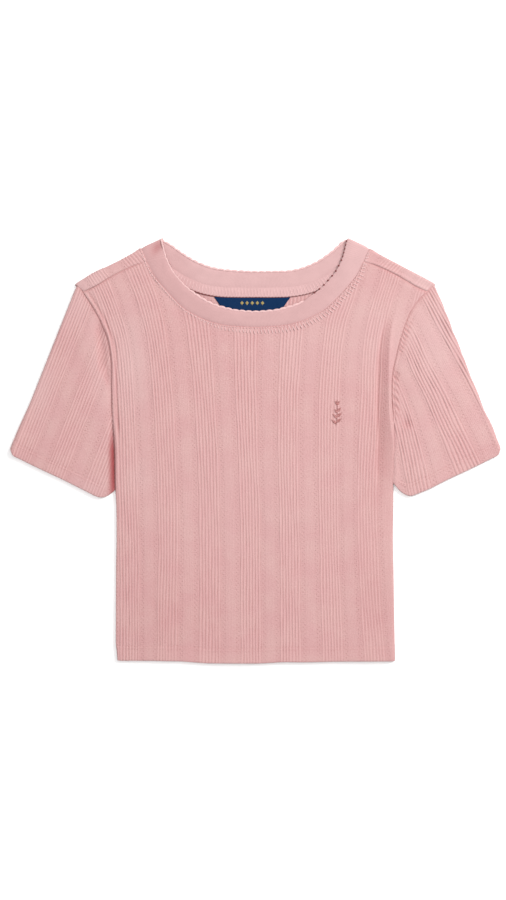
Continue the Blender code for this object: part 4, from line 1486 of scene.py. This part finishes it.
LENS = 85.0
SENSOR = 36.0
VIEW_HEIGHT = 945.0  # millimetres from the top of the picture to its bottom
VIEW_MIDDLE = (-2.2, 1.1)
FLOOR = (6.0, -0.0004)  # half its width and its height, in metres


def camera():
    data = bpy.data.cameras.new("camera")
    data.lens = LENS
    data.sensor_width = SENSOR
    data.clip_end = 20.0
    made = add("camera", data)
    made.location = [c * MM for c in (*VIEW_MIDDLE, TOP + VIEW_HEIGHT * LENS / SENSOR)]
    bpy.context.scene.camera = made


def area_light(name, place, size, power):
    """A round light that looks at the middle of the shirt."""
    data = bpy.data.lights.new(name, "AREA")
    data.shape = "DISK"
    data.size = size
    data.energy = power
    made = add(name, data)
    made.location = place
    away = np.array(place) / np.linalg.norm(place)
    made.rotation_euler = (math.acos(away[2]), 0.0, math.atan2(away[1], away[0]) + math.pi / 2)


def floor():
    mesh = bpy.data.meshes.new("floor")
    half, z = FLOOR
    corners = [(-half, -half, z), (half, -half, z), (half, half, z), (-half, half, z)]
    mesh.from_pydata(corners, [], [(0, 1, 2, 3)])
    mesh.materials.append(paper("paper"))
    made = add("floor", mesh)


def lights():
    area_light("key", (1.6, 1.35, 1.7), 1.1, 62.0)
    area_light("overhead", (-0.2, 0.1, 2.6), 2.2, 36.0)
    world = bpy.data.worlds.new("studio")
    world.use_nodes = True
    inputs = world.node_tree.nodes["Background"].inputs
    inputs["Color"].default_value = (1.0, 1.0, 1.0, 1.0)
    inputs["Strength"].default_value = 0.55
    bpy.context.scene.world = world
    bpy.context.scene.view_settings.view_transform = "Standard"


def main():
    body_cloth = jersey("rib_eyelet_jersey")
    band_cloth = rib_knit("neck_rib_knit", PALE_PINK, 1.5, 1.1, 0.2)
    picot_yarn = yarn("picot_yarn", PICOT_PINK, PALE_PINK)
    seam_yarn = yarn("seam_yarn", THREAD_PINK, PALE_PINK)
    sprig_yarn = yarn("sprig_yarn", SPRIG_PINK, DEEP_PINK)
    navy = satin("navy_satin", NAVY)
    gold = yarn("gold_yarn", GOLD, OLD_GOLD)
    front = front_panel(body_cloth)
    back = back_panel(body_cloth)
    sleeves = [sleeve(side, body_cloth) for side in (-1, 1)]
    band = neckband(band_cloth)
    picot(picot_yarn)
    allowance, line, down = neck_allowance(band_cloth)
    tape = label(navy)
    motif = label_motif(gold)
    front_face = Surface(front)
    shirt = Surface(front, back, *sleeves)
    neck = neck_stitches(shirt, seam_yarn)
    # Dark yarn as painted shadow along the band's edge at +X and under the allowance's free edge
    painted_shadow_yarn = yarn("painted_shadow_yarn", *PAINTED_SHADOW_REDS)
    knots = picot_shadows(painted_shadow_yarn)
    inside = [inside_stitches(Surface(allowance), line, down, seam_yarn), edge_loops_painted_shadow(line, down, painted_shadow_yarn)]
    hem_yarn = yarn("hem_yarn", *HEM_PINKS)
    hems = hem_stitches(shirt, hem_yarn)
    cuff_stitches(shirt, hem_yarn)
    flower = sprig(front_face, sprig_yarn)
    camera()
    floor()
    lights()


main()
